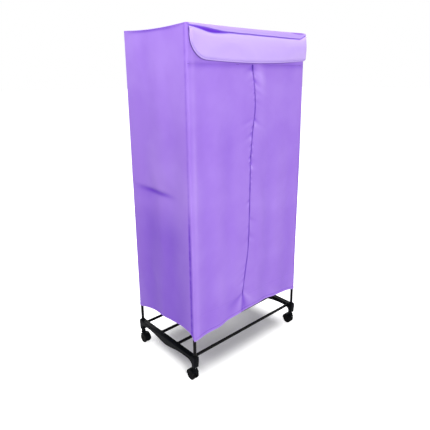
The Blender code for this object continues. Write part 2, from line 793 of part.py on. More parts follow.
def build_zip_slider(metal):
    """The slider with its front pin, and the pull tab that swings on that pin."""
    top_x = ZIP_TOP_X
    back = -COVER_HALF_Y - SLIDER_GAP
    front = back - SLIDER_THICK
    half = SLIDER_WIDTH / 2
    body = block((top_x - half, front, SLIDER_TOP_Z - SLIDER_HEIGHT / 2),
                 (top_x + half, back, SLIDER_TOP_Z + SLIDER_HEIGHT / 2), "zip_slider")
    bevel(body, SLIDER_BEVEL)
    pin_z = SLIDER_TOP_Z - PIN_DROP
    tab_back = front - TAB_CLEARANCE
    tab_front = tab_back - TAB_THICK
    head_back = tab_front - TAB_CLEARANCE
    head_front = head_back - PIN_HEAD_THICK
    inside = front + SLIDER_THICK / 2
    join(body, rod((top_x, inside, pin_z), (top_x, head_front + PIN_HEAD_THICK / 2, pin_z),
                   PIN_RADIUS, SMALL_ROUND, "slider_pin"),
         rod((top_x, head_back, pin_z), (top_x, head_front, pin_z), PIN_HEAD_RADIUS, SMALL_ROUND,
             "slider_pin_head"))
    keep(hang_on(solid(body), (top_x, back, SLIDER_TOP_Z)), metal, "zip_slider")

    half_tab = TAB_WIDTH / 2
    outline = arc((0, 0), TAB_EYE_RADIUS, -TAB_NECK_DEG, 180 + TAB_NECK_DEG, 2 * ARC_STEPS)
    outline += [(-half_tab, -2 * TAB_EYE_RADIUS), (-half_tab, -TAB_LENGTH + half_tab)]
    outline += arc((0, -TAB_LENGTH + half_tab), half_tab, 180, 360)
    outline += [(half_tab, -2 * TAB_EYE_RADIUS)]
    tab = moved(flat_shape(outline, TAB_THICK, "pull_tab"), FRONT_VIEW)
    moved(tab, Matrix.Translation((top_x, (tab_back + tab_front) / 2, pin_z)))
    start, end = (top_x, tab_back + CUT_OVERRUN, pin_z), (top_x, tab_front - CUT_OVERRUN, pin_z)
    cut(tab, rod(start, end, PIN_RADIUS + TAB_CLEARANCE, SMALL_ROUND, "tab_hole"))
    keep(hang_on(solid(tab), (top_x, tab_back, pin_z)), metal, "zip_pull_tab")


def build_flap(cloth):
    """The flap over the top of the zip, sewn on along its upper edge and creased a little below it.

    It stands off the front below the crease, more so towards its right end, and its lower left
    corner is round.
    """
    pivot = Vector((0, -COVER_HALF_Y - FLAP_HINGE_GAP, FLAP_HINGE_Z))
    middle = (FLAP_LEFT_X + FLAP_RIGHT_X) / 2
    half = (FLAP_RIGHT_X - FLAP_LEFT_X) / 2

    def point(u, v):
        x = mix(FLAP_LEFT_X, FLAP_RIGHT_X, u ** FLAP_COLUMN_POWER)
        low = FLAP_BOTTOM_Z + FLAP_SAG * ((x - middle) / half) ** 2
        inset = max(FLAP_CORNER - (x - FLAP_LEFT_X), 0)
        low += FLAP_CORNER - math.sqrt(FLAP_CORNER ** 2 - inset ** 2)
        z = mix(low, FLAP_HINGE_Z, v)
        below = (FLAP_HINGE_Z - FLAP_CREASE_DROP - z) / FLAP_ROLL
        stand = FLAP_STANDOFF + FLAP_FLARE * ((x - FLAP_LEFT_X) / (2 * half)) ** 3
        return x, pivot.y - CLOTH - stand * math.sin(math.pi / 2 * min(max(below, 0), 1)), z

    sheet("front_flap", FLAP_COLUMNS, FLAP_ROWS, point, cloth, pivot)


# Casters

def wheel_offset():
    """X of a wheel's inner face from the middle of the caster."""
    return WEB_THICK / 2 + WHEEL_SIDE_GAP


def caster_hood():
    """Web between the wheels, fender over them and the neck that turns on the stem."""
    hub = (TRAIL, WHEEL_RADIUS)
    half_width = wheel_offset() + WHEEL_WIDTH
    inner = WHEEL_RADIUS + FENDER_GAP
    outer = inner + FENDER_WALL
    steps = 2 * ARC_STEPS
    band = arc(hub, outer, FENDER_REAR_DEG, FENDER_FRONT_DEG, steps)
    band += arc(hub, inner - FENDER_GAP / 2, FENDER_FRONT_DEG, FENDER_REAR_DEG, steps)
    hood = moved(flat_shape(band, 2 * half_width, "caster_hood"), SIDE_VIEW)
    join(hood, rod((0, 0, NECK_BOTTOM_Z), (0, 0, NECK_TOP_Z), NECK_RADIUS, name="neck"))
    for side in (-1, 1):
        start = (side * WEB_THICK / 2, TRAIL, WHEEL_RADIUS)
        end = (side * (half_width + CUT_OVERRUN), TRAIL, WHEEL_RADIUS)
        cut(hood, rod(start, end, inner, 2 * ROUND, "wheel_room"))
    web = arc(hub, WEB_RADIUS, WEB_REAR_DEG, WEB_FRONT_DEG, steps)
    neck_reach = NECK_RADIUS * NECK_WEB_SHARE
    web += [(neck_reach, NECK_TOP_Z - FENDER_WALL), (-neck_reach, NECK_TOP_Z - FENDER_WALL)]
    web += [(-neck_reach, NECK_BOTTOM_Z)]
    join(hood, moved(flat_shape(web, WEB_THICK, "web"), SIDE_VIEW))
    axle = rod((-half_width, TRAIL, WHEEL_RADIUS), (half_width, TRAIL, WHEEL_RADIUS),
               AXLE_RADIUS + SEAT, SMALL_ROUND, "axle_hole")
    stem_hole = rod((0, 0, NECK_TOP_Z - STEM_DROP - SEAT), (0, 0, NECK_TOP_Z + CUT_OVERRUN),
                    STEM_RADIUS + SEAT, SMALL_ROUND, "stem_hole")
    return solid(cut(hood, axle, stem_hole))


def wheel_profile(with_axle):
    """Half section of a wheel along its axle, its dished outer face at the top."""
    face, back = WHEEL_WIDTH, 0
    rim = [(DISH_RADIUS, face - DISH_DEPTH), (DISH_RADIUS + DISH_DEPTH, face)]
    rim += [(WHEEL_RADIUS - WHEEL_CHAMFER, face), (WHEEL_RADIUS, face - WHEEL_CHAMFER)]
    rim += [(WHEEL_RADIUS, back)]
    if with_axle:
        end = -2 * wheel_offset() - WHEEL_WIDTH + DISH_DEPTH
        return [(0, face - DISH_DEPTH)] + rim + [(AXLE_RADIUS, back), (AXLE_RADIUS, end), (0, end)]
    bore = AXLE_RADIUS + SEAT
    return rim + [(bore, back), (bore, face - DISH_DEPTH)]


def build_casters(plastic, rubber, steel):
    hood_mesh = caster_hood().data
    offset = wheel_offset()
    hub = Matrix.Translation((0, TRAIL, WHEEL_RADIUS))
    outer = turned(wheel_profile(True), name="wheel_outer")
    moved(outer, hub @ Matrix.Translation((offset, 0, 0)) @ ALONG_X)
    inner = turned(wheel_profile(False), closed=True, name="wheel_inner")
    moved(inner, hub @ Matrix.Rotation(math.pi, 4, "Z") @ Matrix.Translation((offset, 0, 0)) @ ALONG_X)
    top, bottom = LEG_BOTTOM_Z + STEM_INSERT, NECK_TOP_Z - STEM_DROP
    under_leg = LEG_BOTTOM_Z - SEAT
    stem_profile = [(0, top), (STEM_RADIUS, top), (STEM_RADIUS, under_leg), (COLLAR_RADIUS, under_leg)]
    stem_profile += [(COLLAR_RADIUS, under_leg - COLLAR_THICK), (STEM_RADIUS, under_leg - COLLAR_THICK)]
    stem_profile += [(STEM_RADIUS, bottom), (0, bottom)]
    stem = turned(stem_profile, SMALL_ROUND, name="stem")
    pieces = (("caster_hood", hood_mesh, plastic, (0, 0, 0)),
              ("caster_wheel_outer", outer.data, rubber, (0, TRAIL, WHEEL_RADIUS)),
              ("caster_wheel_inner", inner.data, rubber, (0, TRAIL, WHEEL_RADIUS)),
              ("caster_stem", stem.data, steel, (0, 0, 0)))
    for corner, x, y in post_corners():
        turn = Matrix.Rotation(0 if y < 0 else math.pi, 4, "Z")
        for name, mesh, mat, pivot in pieces:
            obj = new_object(f"{name}_{corner}", mesh.copy())
            moved(obj, Matrix.Translation((x, y, 0)) @ turn)
            place = Matrix.Translation((x, y, 0)) @ turn @ Vector(pivot)
            keep(hang_on(obj, place), mat, f"{name}_{corner}")
    for spare in [outer, inner, stem] + [o for o in bpy.data.objects if o.data == hood_mesh]:
        bpy.data.objects.remove(spare, do_unlink=True)


# Heater

def heater_floor_z():
    return BASE_BAR_Z + TUBE_RADIUS + SEAT


def heater_seam_z():
    return heater_floor_z() + HEATER_BASE_HEIGHT


def heater_middle_y():
    return (HEATER_FRONT_Y + HEATER_BACK_Y) / 2


def element_z():
    return heater_seam_z() + ELEMENT_SEAM_RISE


def open_tray(name, low_z, high_z, open_top):
    """A round-cornered box shell with one open side, made from an open surface."""
    half_y = HEATER_DEPTH / 2
    corners = ((HEATER_HALF_X, half_y, 0), (-HEATER_HALF_X, half_y, 90),
               (-HEATER_HALF_X, -half_y, 180), (HEATER_HALF_X, -half_y, 270))
    outline = []
    for x, y, first in corners:
        centre = (x - math.copysign(HEATER_CORNER, x), y - math.copysign(HEATER_CORNER, y))
        outline += arc(centre, HEATER_CORNER, first, first + 90, ARC_STEPS // 2)
    shell = moved(flat_shape(outline, high_z - low_z, name),
                  Matrix.Translation((0, heater_middle_y(), (low_z + high_z) / 2)))
    bevel(shell, HEATER_WALL)
    shell = solid(shell)
    wall = HEATER_WALL
    inner = []
    for x, y, first in corners:
        centre = (x - math.copysign(HEATER_CORNER, x), y - math.copysign(HEATER_CORNER, y))
        inner += arc(centre, HEATER_CORNER - wall, first, first + 90, ARC_STEPS // 2)
    low = low_z + wall if open_top else low_z - CUT_OVERRUN - wall
    high = high_z + CUT_OVERRUN + wall if open_top else high_z - wall
    room = moved(flat_shape(inner, high - low, "room"),
                 Matrix.Translation((0, heater_middle_y(), (low + high) / 2)))
    cut(shell, room)
    return shell


def build_heater_base(plastic):
    floor, seam = heater_floor_z(), heater_seam_z()
    base = open_tray("heater_base", floor, seam, True)
    inside = floor + HEATER_WALL / 2
    for side in (-1, 1):
        near = side * (ELEMENT_HALF_X - UPRIGHT_X)
        far = side * ELEMENT_HALF_X
        y = heater_middle_y()
        join(base, block((min(near, far), y - UPRIGHT_HALF_Y, inside),
                         (max(near, far), y + UPRIGHT_HALF_Y, element_z() - SEAT), "upright"))
    middle = (floor + seam) / 2
    for i in range(INTAKE_SLOTS):
        x = INTAKE_SLOT_PITCH * (i - (INTAKE_SLOTS - 1) / 2)
        low = (x - INTAKE_SLOT_WIDTH / 2, HEATER_FRONT_Y - CUT_OVERRUN, middle - INTAKE_SLOT_HEIGHT / 2)
        high = (x + INTAKE_SLOT_WIDTH / 2, HEATER_FRONT_Y + HEATER_WALL + CUT_OVERRUN,
                middle + INTAKE_SLOT_HEIGHT / 2)
        cut(base, block(low, high, "intake_slot"))
    gland_z = floor + GLAND_Z_RISE
    cut(base, rod((GLAND_X, HEATER_BACK_Y - HEATER_WALL - CUT_OVERRUN, gland_z),
                  (GLAND_X, HEATER_BACK_Y + CUT_OVERRUN, gland_z), GLAND_RADIUS + SEAT, name="gland_hole"))
    keep(solid(base), plastic, "heater_base")


def build_heater_cover(plastic):
    low = heater_seam_z() + SEAT
    high = low + HEATER_COVER_HEIGHT
    cover = open_tray("heater_cover", low, high, False)
    y = heater_middle_y()
    cut(cover, rod((0, y, high - HEATER_WALL - CUT_OVERRUN), (0, y, high + CUT_OVERRUN),
                   OUTLET_RADIUS, 2 * ROUND, "outlet_hole"))
    control_z = low + CONTROL_Z_RISE
    front, behind = HEATER_FRONT_Y - CUT_OVERRUN, HEATER_FRONT_Y + HEATER_WALL + CUT_OVERRUN
    for x, radius in ((KNOB_X, SPINDLE_RADIUS), (LENS_X, LENS_RADIUS)):
        cut(cover, rod((x, front, control_z), (x, behind, control_z), radius + SEAT, name="control_hole"))
    room = ROCKER_CLEARANCE
    cut(cover, block((ROCKER_X - ROCKER_HALF_X - SEAT, front, control_z - ROCKER_HALF_Z - room),
                     (ROCKER_X + ROCKER_HALF_X + SEAT, behind, control_z + ROCKER_HALF_Z + room),
                     "rocker_hole"))
    keep(solid(cover), plastic, "heater_cover")
    return high, control_z


def build_outlet_grille(plastic, roof):
    """A plug-in grille: a flange on the roof, a collar in the hole, rings and spokes."""
    y = heater_middle_y()
    collar = OUTLET_RADIUS - SEAT
    inside = collar - GRILLE_LIP / 2
    flange_low, flange_high = roof + SEAT, roof + SEAT + GRILLE_THICK
    bottom = roof - HEATER_WALL
    profile = [(OUTLET_RADIUS + GRILLE_LIP, flange_high), (OUTLET_RADIUS + GRILLE_LIP, flange_low)]
    profile += [(collar, flange_low), (collar, bottom), (inside, bottom), (inside, flange_high)]
    grille = turned(profile, 2 * ROUND, closed=True, name="outlet_grille")
    moved(grille, Matrix.Translation((0, y, 0)))
    mid = (flange_low + flange_high) / 2
    half = GRILLE_WIRE / 2
    for radius in GRILLE_RING_RADII:
        ring = [(radius + half, mid + half), (radius + half, mid - half)]
        ring += [(radius - half, mid - half), (radius - half, mid + half)]
        join(grille, moved(turned(ring, ROUND, closed=True, name="grille_ring"),
                           Matrix.Translation((0, y, 0))))
    for i in range(GRILLE_SPOKES // 2):
        spoke = block((-inside - half, -half, mid - GRILLE_WIRE), (inside + half, half, mid + GRILLE_WIRE),
                      "grille_spoke")
        turn = Matrix.Rotation(math.pi * i / (GRILLE_SPOKES // 2), 4, "Z")
        join(grille, moved(spoke, Matrix.Translation((0, y, 0)) @ turn))
    keep(solid(grille), plastic, "outlet_grille")


def build_fan(plastic, steel):
    """The motor on the base's floor, and the impeller on its shaft."""
    y = heater_middle_y()
    foot = heater_floor_z() + HEATER_WALL + SEAT
    top = foot + MOTOR_HEIGHT
    tip = top + SHAFT_LENGTH
    neck = MOTOR_NECK_RADIUS
    profile = [(0, tip), (SHAFT_RADIUS, tip), (SHAFT_RADIUS, top + SHAFT_RADIUS), (neck, top + SHAFT_RADIUS)]
    profile += [(neck, top), (MOTOR_RADIUS - SHAFT_RADIUS, top), (MOTOR_RADIUS, top - SHAFT_RADIUS)]
    profile += [(MOTOR_RADIUS, foot), (0, foot)]
    motor = moved(turned(profile, name="fan_motor"), Matrix.Translation((0, y, 0)))
    keep(motor, steel, "fan_motor")

    low = top + SHAFT_RADIUS + SEAT
    high = low + FAN_HUB_HEIGHT
    fan = rod((0, 0, low), (0, 0, high), FAN_HUB_RADIUS, name="fan_impeller")
    middle = (low + high) / 2
    for i in range(FAN_BLADES):
        blade = block((FAN_HUB_RADIUS / 2, -FAN_BLADE_CHORD / 2, -FAN_BLADE_THICK / 2),
                      (FAN_RADIUS, FAN_BLADE_CHORD / 2, FAN_BLADE_THICK / 2), "blade")
        moved(blade, Matrix.Rotation(math.tau * i / FAN_BLADES, 4, "Z")
              @ Matrix.Translation((0, 0, middle))
              @ Matrix.Rotation(math.radians(FAN_PITCH_DEG), 4, "X"))
        join(fan, blade)
    cut(fan, rod((0, 0, low - CUT_OVERRUN), (0, 0, high + CUT_OVERRUN),
                 SHAFT_RADIUS + FAN_SHAFT_GAP, SMALL_ROUND, "shaft_hole"))
    fan = moved(solid(fan), Matrix.Translation((0, y, 0)))
    keep(hang_on(fan, (0, y, low)), plastic, "fan_impeller")


def build_element(ceramic):
    """Heating element: a frame of fins that lies on the two uprights over the fan."""
    y = heater_middle_y()
    low, high = element_z(), element_z() + ELEMENT_HEIGHT
    frame = block((-ELEMENT_HALF_X, y - ELEMENT_HALF_Y, low), (ELEMENT_HALF_X, y + ELEMENT_HALF_Y, high),
                  "heating_element")
    pitch = 2 * (ELEMENT_HALF_X - ELEMENT_WALL) / ELEMENT_FINS
    for i in range(ELEMENT_FINS):
        start = -ELEMENT_HALF_X + ELEMENT_WALL + pitch * i + ELEMENT_FIN / 2
        end = start + pitch - ELEMENT_FIN
        over_upright = end > ELEMENT_HALF_X - UPRIGHT_X or start < UPRIGHT_X - ELEMENT_HALF_X
        if over_upright:
            continue
        cut(frame, block((start, y - ELEMENT_HALF_Y + ELEMENT_WALL, low - CUT_OVERRUN),
                         (end, y + ELEMENT_HALF_Y - ELEMENT_WALL, high + CUT_OVERRUN), "air_gap"))
    keep(solid(frame), ceramic, "heating_element")


def build_controls(plastic, red, amber, control_z):
    face = HEATER_FRONT_Y - SEAT
    # Timer knob with its pointer grip and the spindle behind it
    profile = [(0, KNOB_DEPTH), (KNOB_RADIUS * KNOB_GRIP_FACE_SHARE, KNOB_DEPTH)]
    profile += [(KNOB_RADIUS * KNOB_GRIP_EDGE_SHARE, KNOB_DEPTH - KNOB_SKIRT)]
    profile += [(KNOB_RADIUS * KNOB_GRIP_ROOT_SHARE, KNOB_SKIRT)]
    profile += [(KNOB_RADIUS, KNOB_SKIRT * KNOB_SKIRT_RIM_SHARE), (KNOB_RADIUS, 0)]
    profile += [(SPINDLE_RADIUS, 0), (SPINDLE_RADIUS, -SPINDLE_LENGTH), (0, -SPINDLE_LENGTH)]
    knob = turned(profile, name="timer_knob")
    half = KNOB_GRIP_WIDTH / 2
    tail, pointer = (KNOB_RADIUS * share for share in KNOB_POINTER_SHARES)
    grip = block((-half, tail, KNOB_DEPTH - KNOB_GRIP_DEPTH),
                 (half, pointer, KNOB_DEPTH + KNOB_GRIP_DEPTH), "grip")
    knob = solid(join(knob, grip))
    moved(knob, Matrix.Translation((KNOB_X, face, control_z)) @ FRONT_VIEW)
    keep(hang_on(knob, (KNOB_X, face, control_z)), plastic, "timer_knob")

    # Power rocker, at rest with its lower end pressed in
    deep, proud = ROCKER_DEPTH - ROCKER_PROUD, ROCKER_PROUD
    rocker = block((-ROCKER_HALF_X, -proud, -ROCKER_HALF_Z), (ROCKER_HALF_X, deep, ROCKER_HALF_Z),
                   "power_rocker")
    bevel(rocker, ROCKER_PROUD / 2)
    rocker = solid(rocker)
    pivot = (ROCKER_X, HEATER_FRONT_Y + HEATER_WALL, control_z)
    turn = Matrix.Rotation(math.radians(ROCKER_TILT_DEG), 4, "X")
    moved(rocker, turn @ Matrix.Translation((0, -HEATER_WALL, 0)))
    moved(rocker, Matrix.Translation(pivot))
    keep(hang_on(rocker, pivot), red, "power_rocker")

    # Pilot lens, domed in front
    out, up = LENS_DOME_SHARES
    dome = [(0, LENS_DEPTH + LENS_DOME), (LENS_RADIUS * out, LENS_DEPTH + LENS_DOME * up)]
    dome += [(LENS_RADIUS, LENS_DEPTH), (LENS_RADIUS, 0), (0, 0)]
    lens = turned(dome, SMALL_ROUND, name="pilot_lens")
    moved(lens, Matrix.Translation((LENS_X, HEATER_FRONT_Y + LENS_DEPTH - SEAT, control_z)) @ FRONT_VIEW)
    keep(lens, amber, "pilot_lens")


def build_gland(plastic):
    """Cord inlet in the back of the heater, with its flange outside the wall."""
    profile = [(GLAND_FLANGE_RADIUS, GLAND_FLANGE_THICK), (GLAND_FLANGE_RADIUS, 0), (GLAND_RADIUS, 0)]
    profile += [(GLAND_RADIUS, -GLAND_LENGTH), (GLAND_BORE, -GLAND_LENGTH)]
    profile += [(GLAND_BORE, GLAND_FLANGE_THICK)]
    gland = turned(profile, closed=True, name="cord_inlet")
    outward = Matrix.Rotation(-math.pi / 2, 4, "X")
    place = (GLAND_X, HEATER_BACK_Y + SEAT, heater_floor_z() + GLAND_Z_RISE)
    keep(moved(gland, Matrix.Translation(place) @ outward), plastic, "cord_inlet")


# Assembly

clear_scene()
PARTS = new_collection(OBJECT)
CUTTERS = new_collection("cutters")

black_plastic = paint("black_plastic", (17, 18, 22), 0.45)
black_steel = paint("black_steel", (12, 12, 14), 0.28, 0.2)
bright_steel = paint("bright_steel", (176, 178, 182), 0.25, 1.0)
wheel_black = paint("wheel_black", (20, 20, 22), 0.55)
violet_cloth = paint("violet_cloth", (168, 132, 234), 0.6)
pale_violet_cloth = paint("pale_violet_cloth", (205, 181, 250), 0.6)
violet_zip = paint("violet_zip", (140, 98, 214), 0.5)
white_plastic = paint("white_plastic", (226, 226, 228), 0.4)
grey_plastic = paint("grey_plastic", (110, 112, 118), 0.45)
ceramic_grey = paint("ceramic_grey", (150, 140, 120), 0.6)
red_plastic = paint("red_plastic", (178, 24, 22), 0.3)
amber_lens = paint("amber_lens", (232, 120, 20), 0.15)

build_foot_brackets(black_plastic)
build_bars(black_steel)
build_posts(black_steel)
build_top_brackets(black_plastic)
build_cover(violet_cloth)
build_doors(violet_cloth, violet_zip)
build_zip_slider(bright_steel)
build_flap(pale_violet_cloth)
build_casters(black_plastic, wheel_black, bright_steel)
build_heater_base(white_plastic)
heater_roof_z, heater_control_z = build_heater_cover(white_plastic)
build_outlet_grille(grey_plastic, heater_roof_z)
build_fan(grey_plastic, bright_steel)
build_element(ceramic_grey)
build_controls(grey_plastic, red_plastic, amber_lens, heater_control_z)
build_gland(black_plastic)
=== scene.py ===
"""Looks of the portable clothes dryer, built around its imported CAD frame.

Lengths are in metres and +Z is up. The zipped front faces -Y and the camera stands at the left of it.
"""

import math

import bmesh
import bpy
from mathutils import Matrix, Vector, noise


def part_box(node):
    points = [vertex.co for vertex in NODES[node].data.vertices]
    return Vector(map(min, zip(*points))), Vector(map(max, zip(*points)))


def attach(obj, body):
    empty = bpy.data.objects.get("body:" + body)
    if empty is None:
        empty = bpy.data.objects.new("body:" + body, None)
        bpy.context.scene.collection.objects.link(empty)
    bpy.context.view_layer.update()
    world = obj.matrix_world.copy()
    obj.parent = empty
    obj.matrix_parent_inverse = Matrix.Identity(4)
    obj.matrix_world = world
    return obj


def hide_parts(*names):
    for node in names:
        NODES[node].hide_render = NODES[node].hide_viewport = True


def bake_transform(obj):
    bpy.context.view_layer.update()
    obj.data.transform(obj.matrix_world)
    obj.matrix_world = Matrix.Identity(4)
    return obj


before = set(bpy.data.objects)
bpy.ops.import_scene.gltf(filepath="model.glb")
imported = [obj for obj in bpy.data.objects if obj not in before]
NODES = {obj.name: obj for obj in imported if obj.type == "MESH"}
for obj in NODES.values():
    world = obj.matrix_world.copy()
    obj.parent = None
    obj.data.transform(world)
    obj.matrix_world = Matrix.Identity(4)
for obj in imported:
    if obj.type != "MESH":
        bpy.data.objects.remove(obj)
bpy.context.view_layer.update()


def node_middle(node):
    low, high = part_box(node)
    return (low + high) / 2


CORNERS = ("front_left", "front_right", "rear_left", "rear_right")
SIDES = (("left", -1), ("right", 1))
BARS = ("base_bar_front", "base_bar_mid_front", "base_bar_mid_rear", "base_bar_rear")
RAILS = ("top_rail_front", "hanging_rail_front", "hanging_rail_rear", "top_rail_rear")

# Places that the frame gives. The cloth hangs free between the inner faces of the posts.
HALF_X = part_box("cover_side_right")[1].x
HALF_Y = -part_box("cover_lower_band")[0].y
TOP_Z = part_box("cover_top")[1].z
DOOR_BOTTOM_Z, DOOR_TOP_Z = (end.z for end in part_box("zip_chain_left"))
POST_X, POST_Y = node_middle("lower_post_front_right").x, -node_middle("lower_post_front_right").y
BAR_Z = node_middle(BARS[0]).z
TUBE_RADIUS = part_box(BARS[0])[1].z - BAR_Z
INNER_X, INNER_Y = POST_X - TUBE_RADIUS, POST_Y - TUBE_RADIUS

# Cloth, the bends at the corners and the sag of the top
CLOTH = 0.0012
CORNER_RADIUS = 0.009
SIDE_DIP = 0.008
FRONT_DIP = 0.003
TOP_SEAM_DROP = 0.0035
TOP_TURN = 0.006
TOP_PULL = 0.0012
TOP_PULL_REACH = 0.09
CLOUD_PALE_SHARE = 0.35
WEFT_PITCH = 0.0006
WARP_PITCH = 0.00078

# Hems, as in the CAD: place from corner to corner, and height as a share of the rise
HEM_CORNER_Z = 0.198
SIDE_HEM_RISE = 0.035
FRONT_HEM_RISE = 0.034
SIDE_HEM_SHARES = ((-1.0, 0.0), (-0.93, 0.66), (-0.85, 0.93), (-0.6, 1.0), (-0.3, 0.92),
                   (0.0, 0.89), (0.3, 0.78), (0.6, 0.54), (0.85, 0.21), (1.0, 0.0))
FRONT_HEM_SHARES = ((-1.0, 0.0), (-0.9, 0.11), (-0.77, 0.2), (-0.58, 0.34), (-0.39, 0.6), (-0.18, 0.87),
                    (0.1, 1.0), (0.36, 0.89), (0.7, 0.7), (0.9, 0.44), (1.0, 0.2))
HEM_FOLD = 0.012
HEM_SWELL = 0.0007
HEM_STEP = 0.0015

# Sewing
STITCH_PITCH = 0.0042
STITCH_LENGTH = 0.0027
STITCH_RADIUS = 0.00045
STITCH_SIDES = 5
STITCH_LINE_INSET = 0.014
STITCH_LINE_END = 0.02
STITCH_PROUD = 0.0002
HEM_STITCH_PROUD = 0.0003
PIPING_RADIUS = 0.0016
PIPING_SUNK = 0.0004
TOP_STITCH_DROP = 0.0045

# Slow waves in the cloth, and deeper and paler clouds in its tone: how far each slants down and across,
# its length across and down, which noise it follows, and its height or share of the colour
FRONT_WAVES = ((0, 0, 0.12, 0.45, 0.4, 0.0048), (0.35, 0, 0.06, 0.24, 5.0, 0.0022),
               (-0.8, 1, 0.03, 0.09, 6.0, 0.0007))
SIDE_WAVES = ((0, 0, 0.10, 0.50, 11.0, 0.003), (-0.4, 0, 0.05, 0.22, 17.0, 0.0012))
BACK_WAVES = ((0, 0, 0.10, 0.45, 31.0, 0.005), (0.5, 0, 0.05, 0.20, 33.0, 0.002))
TOP_WAVES = ((0, 0, 0.15, 0.12, 41.0, 0.0022),)
FLAP_WAVES = ((0, 0, 0.10, 0.16, 61.0, 0.0022), (1, 0, 0.035, 0.10, 67.0, 0.0006))
GATHER_WAVES = ((0, 0, 0.012, 0.12, 23.0, 0.0010),)
FRONT_CLOUDS = ((0, 0, 0.09, 0.3, 91.0, 0.10),)
SIDE_CLOUDS = ((0, 0, 0.10, 0.3, 93.0, 0.12),)
BACK_CLOUDS = ((0, 0, 0.10, 0.3, 95.0, 0.12),)
FLAP_CLOUDS = ((0, 0, 0.13, 0.05, 93.0, 0.15),)

# The front: folds on both sides of a calm strip, and creases that run down from its upper corners
FOLDS = 2
FRONT_FOLD = 0.006
FOLD_TOP_Z = 1.400
CALM_LEFT_X = -0.075
CALM_RIGHT_X = 0.045
POST_HOLD = 0.06
ZIP_HOLD_NEAR = 0.02
ZIP_HOLD_FAR = 0.09
DRAG_PITCH = 0.011
DRAG_HEIGHT = 0.0006
DRAG_REACH = 0.10

# A narrow ridge where it rounds the near post, a bulge by the zip's top, and a swell towards the right post
RIDGE_INSET = 0.026
RIDGE_HALF = 0.011
RIDGE_HEIGHT = 0.0024
RIDGE_Z = 0.90
RIDGE_TALL = 0.16
BULGE_OFF = 0.036
BULGE_HALF = 0.026
BULGE_DROP = 0.05
BULGE_TALL = 0.06
BULGE_HEIGHT = 0.0045
SWELL_HEIGHT = 0.006
SWELL_LEFT_X = 0.18
SWELL_LOW_Z = 0.3
SWELL_HIGH_Z = 1.0

# Painted shade: a painted shadow below the flap along the header's seam, and painted shade along the zip and
# down the lower part of the right corner
HEADER_SHADE_DROP = 0.002
HEADER_SHADE_HALF = 0.013
ZIP_SHADE_HALF = 0.0042
CORNER_SHADE_INSET = 0.006
CORNER_SHADE_HALF = 0.005
CORNER_SHADE_LOW_Z = 0.95
CORNER_SHADE_TOP_Z = 1.15

# Sides: folds, a crease across the middle, gathers and painted shade under the top seam, and a seam behind
# the front corner
SIDE_FOLD = 0.007
CREASE_Z = 0.826
CREASE_TILT = 0.02
CREASE_STEP = 0.0045
CREASE_DIP = 0.006
CREASE_HALF = 0.050
CREASE_STEP_REACH = 0.09
GATHER_REACH = 0.07
TAUT_TOP_DROP = 0.06
TAUT_LOW_DROP = 0.12
TOP_SHADE_DROP = 0.012
TOP_SHADE_HALF = 0.007
GROOVE_HALF = 0.0048
GROOVE_DEPTH = 0.0026
GROOVE_LOW_Z = 0.68
GROOVE_HIGH_Z = 0.80
BACK_BULGE = 0.007
BACK_HOLD = 0.08

# Zip: sideways place as shares of its drift, from the top down
ZIP_TOP_X = 0.003
ZIP_DRIFT = 0.057
ZIP_SEAM_SHARES = ((0.0, 0.02), (0.09, -0.26), (0.18, -0.32), (0.27, -0.07), (0.38, 0.10),
                   (0.53, 0.16), (0.71, 0.23), (0.80, 0.35), (0.89, 0.63), (1.0, 0.96))
ZIP_GAP = 0.0036
ZIP_TOP_SPREAD = 0.005
ZIP_SPREAD_DROP = 0.045
ZIP_GAP_WANDER = 0.0008
ZIP_STITCH_OFF = 0.0045
TAPE_NEAR = 0.0012
TAPE_FAR = 0.011
TAPE_THICK = 0.0006

# A tooth: pitch, ends as places off the seam, height, and half its width from its tip to its root
TOOTH_PITCH = 0.0024
TOOTH_LAP = 0.0004
TOOTH_REACH = 0.0021
TOOTH_HEIGHT = 0.0009
TOOTH_HALVES = (0.0006, 0.0005, 0.0004)

# Gathers beside the zip: a slanting row of puckers, and short ticks nearer the seam
PUCKER_DEPTH = 0.0052
PUCKER_REACH = 0.026
PUCKER_PITCH = 0.031
PUCKER_TALL = 0.09
PUCKER_END = 0.02
PATCH_TALL = 0.075
TICK_PITCH = 0.013
TICK_OFF = 0.007
TICK_HALF = 0.006
# How far the rows lie higher, and which noise the rows, patches and ticks follow
LEFT_OF_ZIP = (0, 12.4, 9.2, 38.0)
RIGHT_OF_ZIP = (0.004, 7.7, 1.7, 33.0)

# Ridges and valleys that fan out of the zip's lower end: direction in radians, width and height share
FAN_RISE = 0.02
FAN_START = 0.02
FAN_FADE = 0.05
FAN_END = 0.13
FAN_HEIGHT = 0.0022
FAN_SHARES = ((0.75, 0.22, 1.0), (-0.35, 0.2, 0.8), (0.15, 0.2, -1.0), (-0.95, 0.3, -0.6))

# The place in front of the band where the slider stops, and the band's and the doors' meeting edges
STOP_HALF_X = 0.012
STOP_HALF_Z = 0.022
STOP_DROP = 0.012
STOP_SUNK = 0.0008
BAND_TUCK = 0.0017
BAND_LAP = 0.014
DOOR_GAP = 0.0006
HEADER_GAP = 0.0005

# Flap
FLAP_HINGE_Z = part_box("front_flap")[1].z
FLAP_LEFT_X, FLAP_RIGHT_X = (end.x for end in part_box("front_flap"))
FLAP_BOTTOM_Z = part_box("front_flap")[0].z
FLAP_OFF = 0.0008
FLAP_LIFT = 0.003
FLAP_SAG = 0.014
FLAP_LEFT_CORNER = 0.080
FLAP_RIGHT_CORNER = 0.012
FLAP_STANDOFF = 0.0112
FLAP_FLARE = 0.005
FLAP_BELLY = 0.0025
FLAP_HEM = 0.006
FLAP_HEM_SWELL = 0.0006

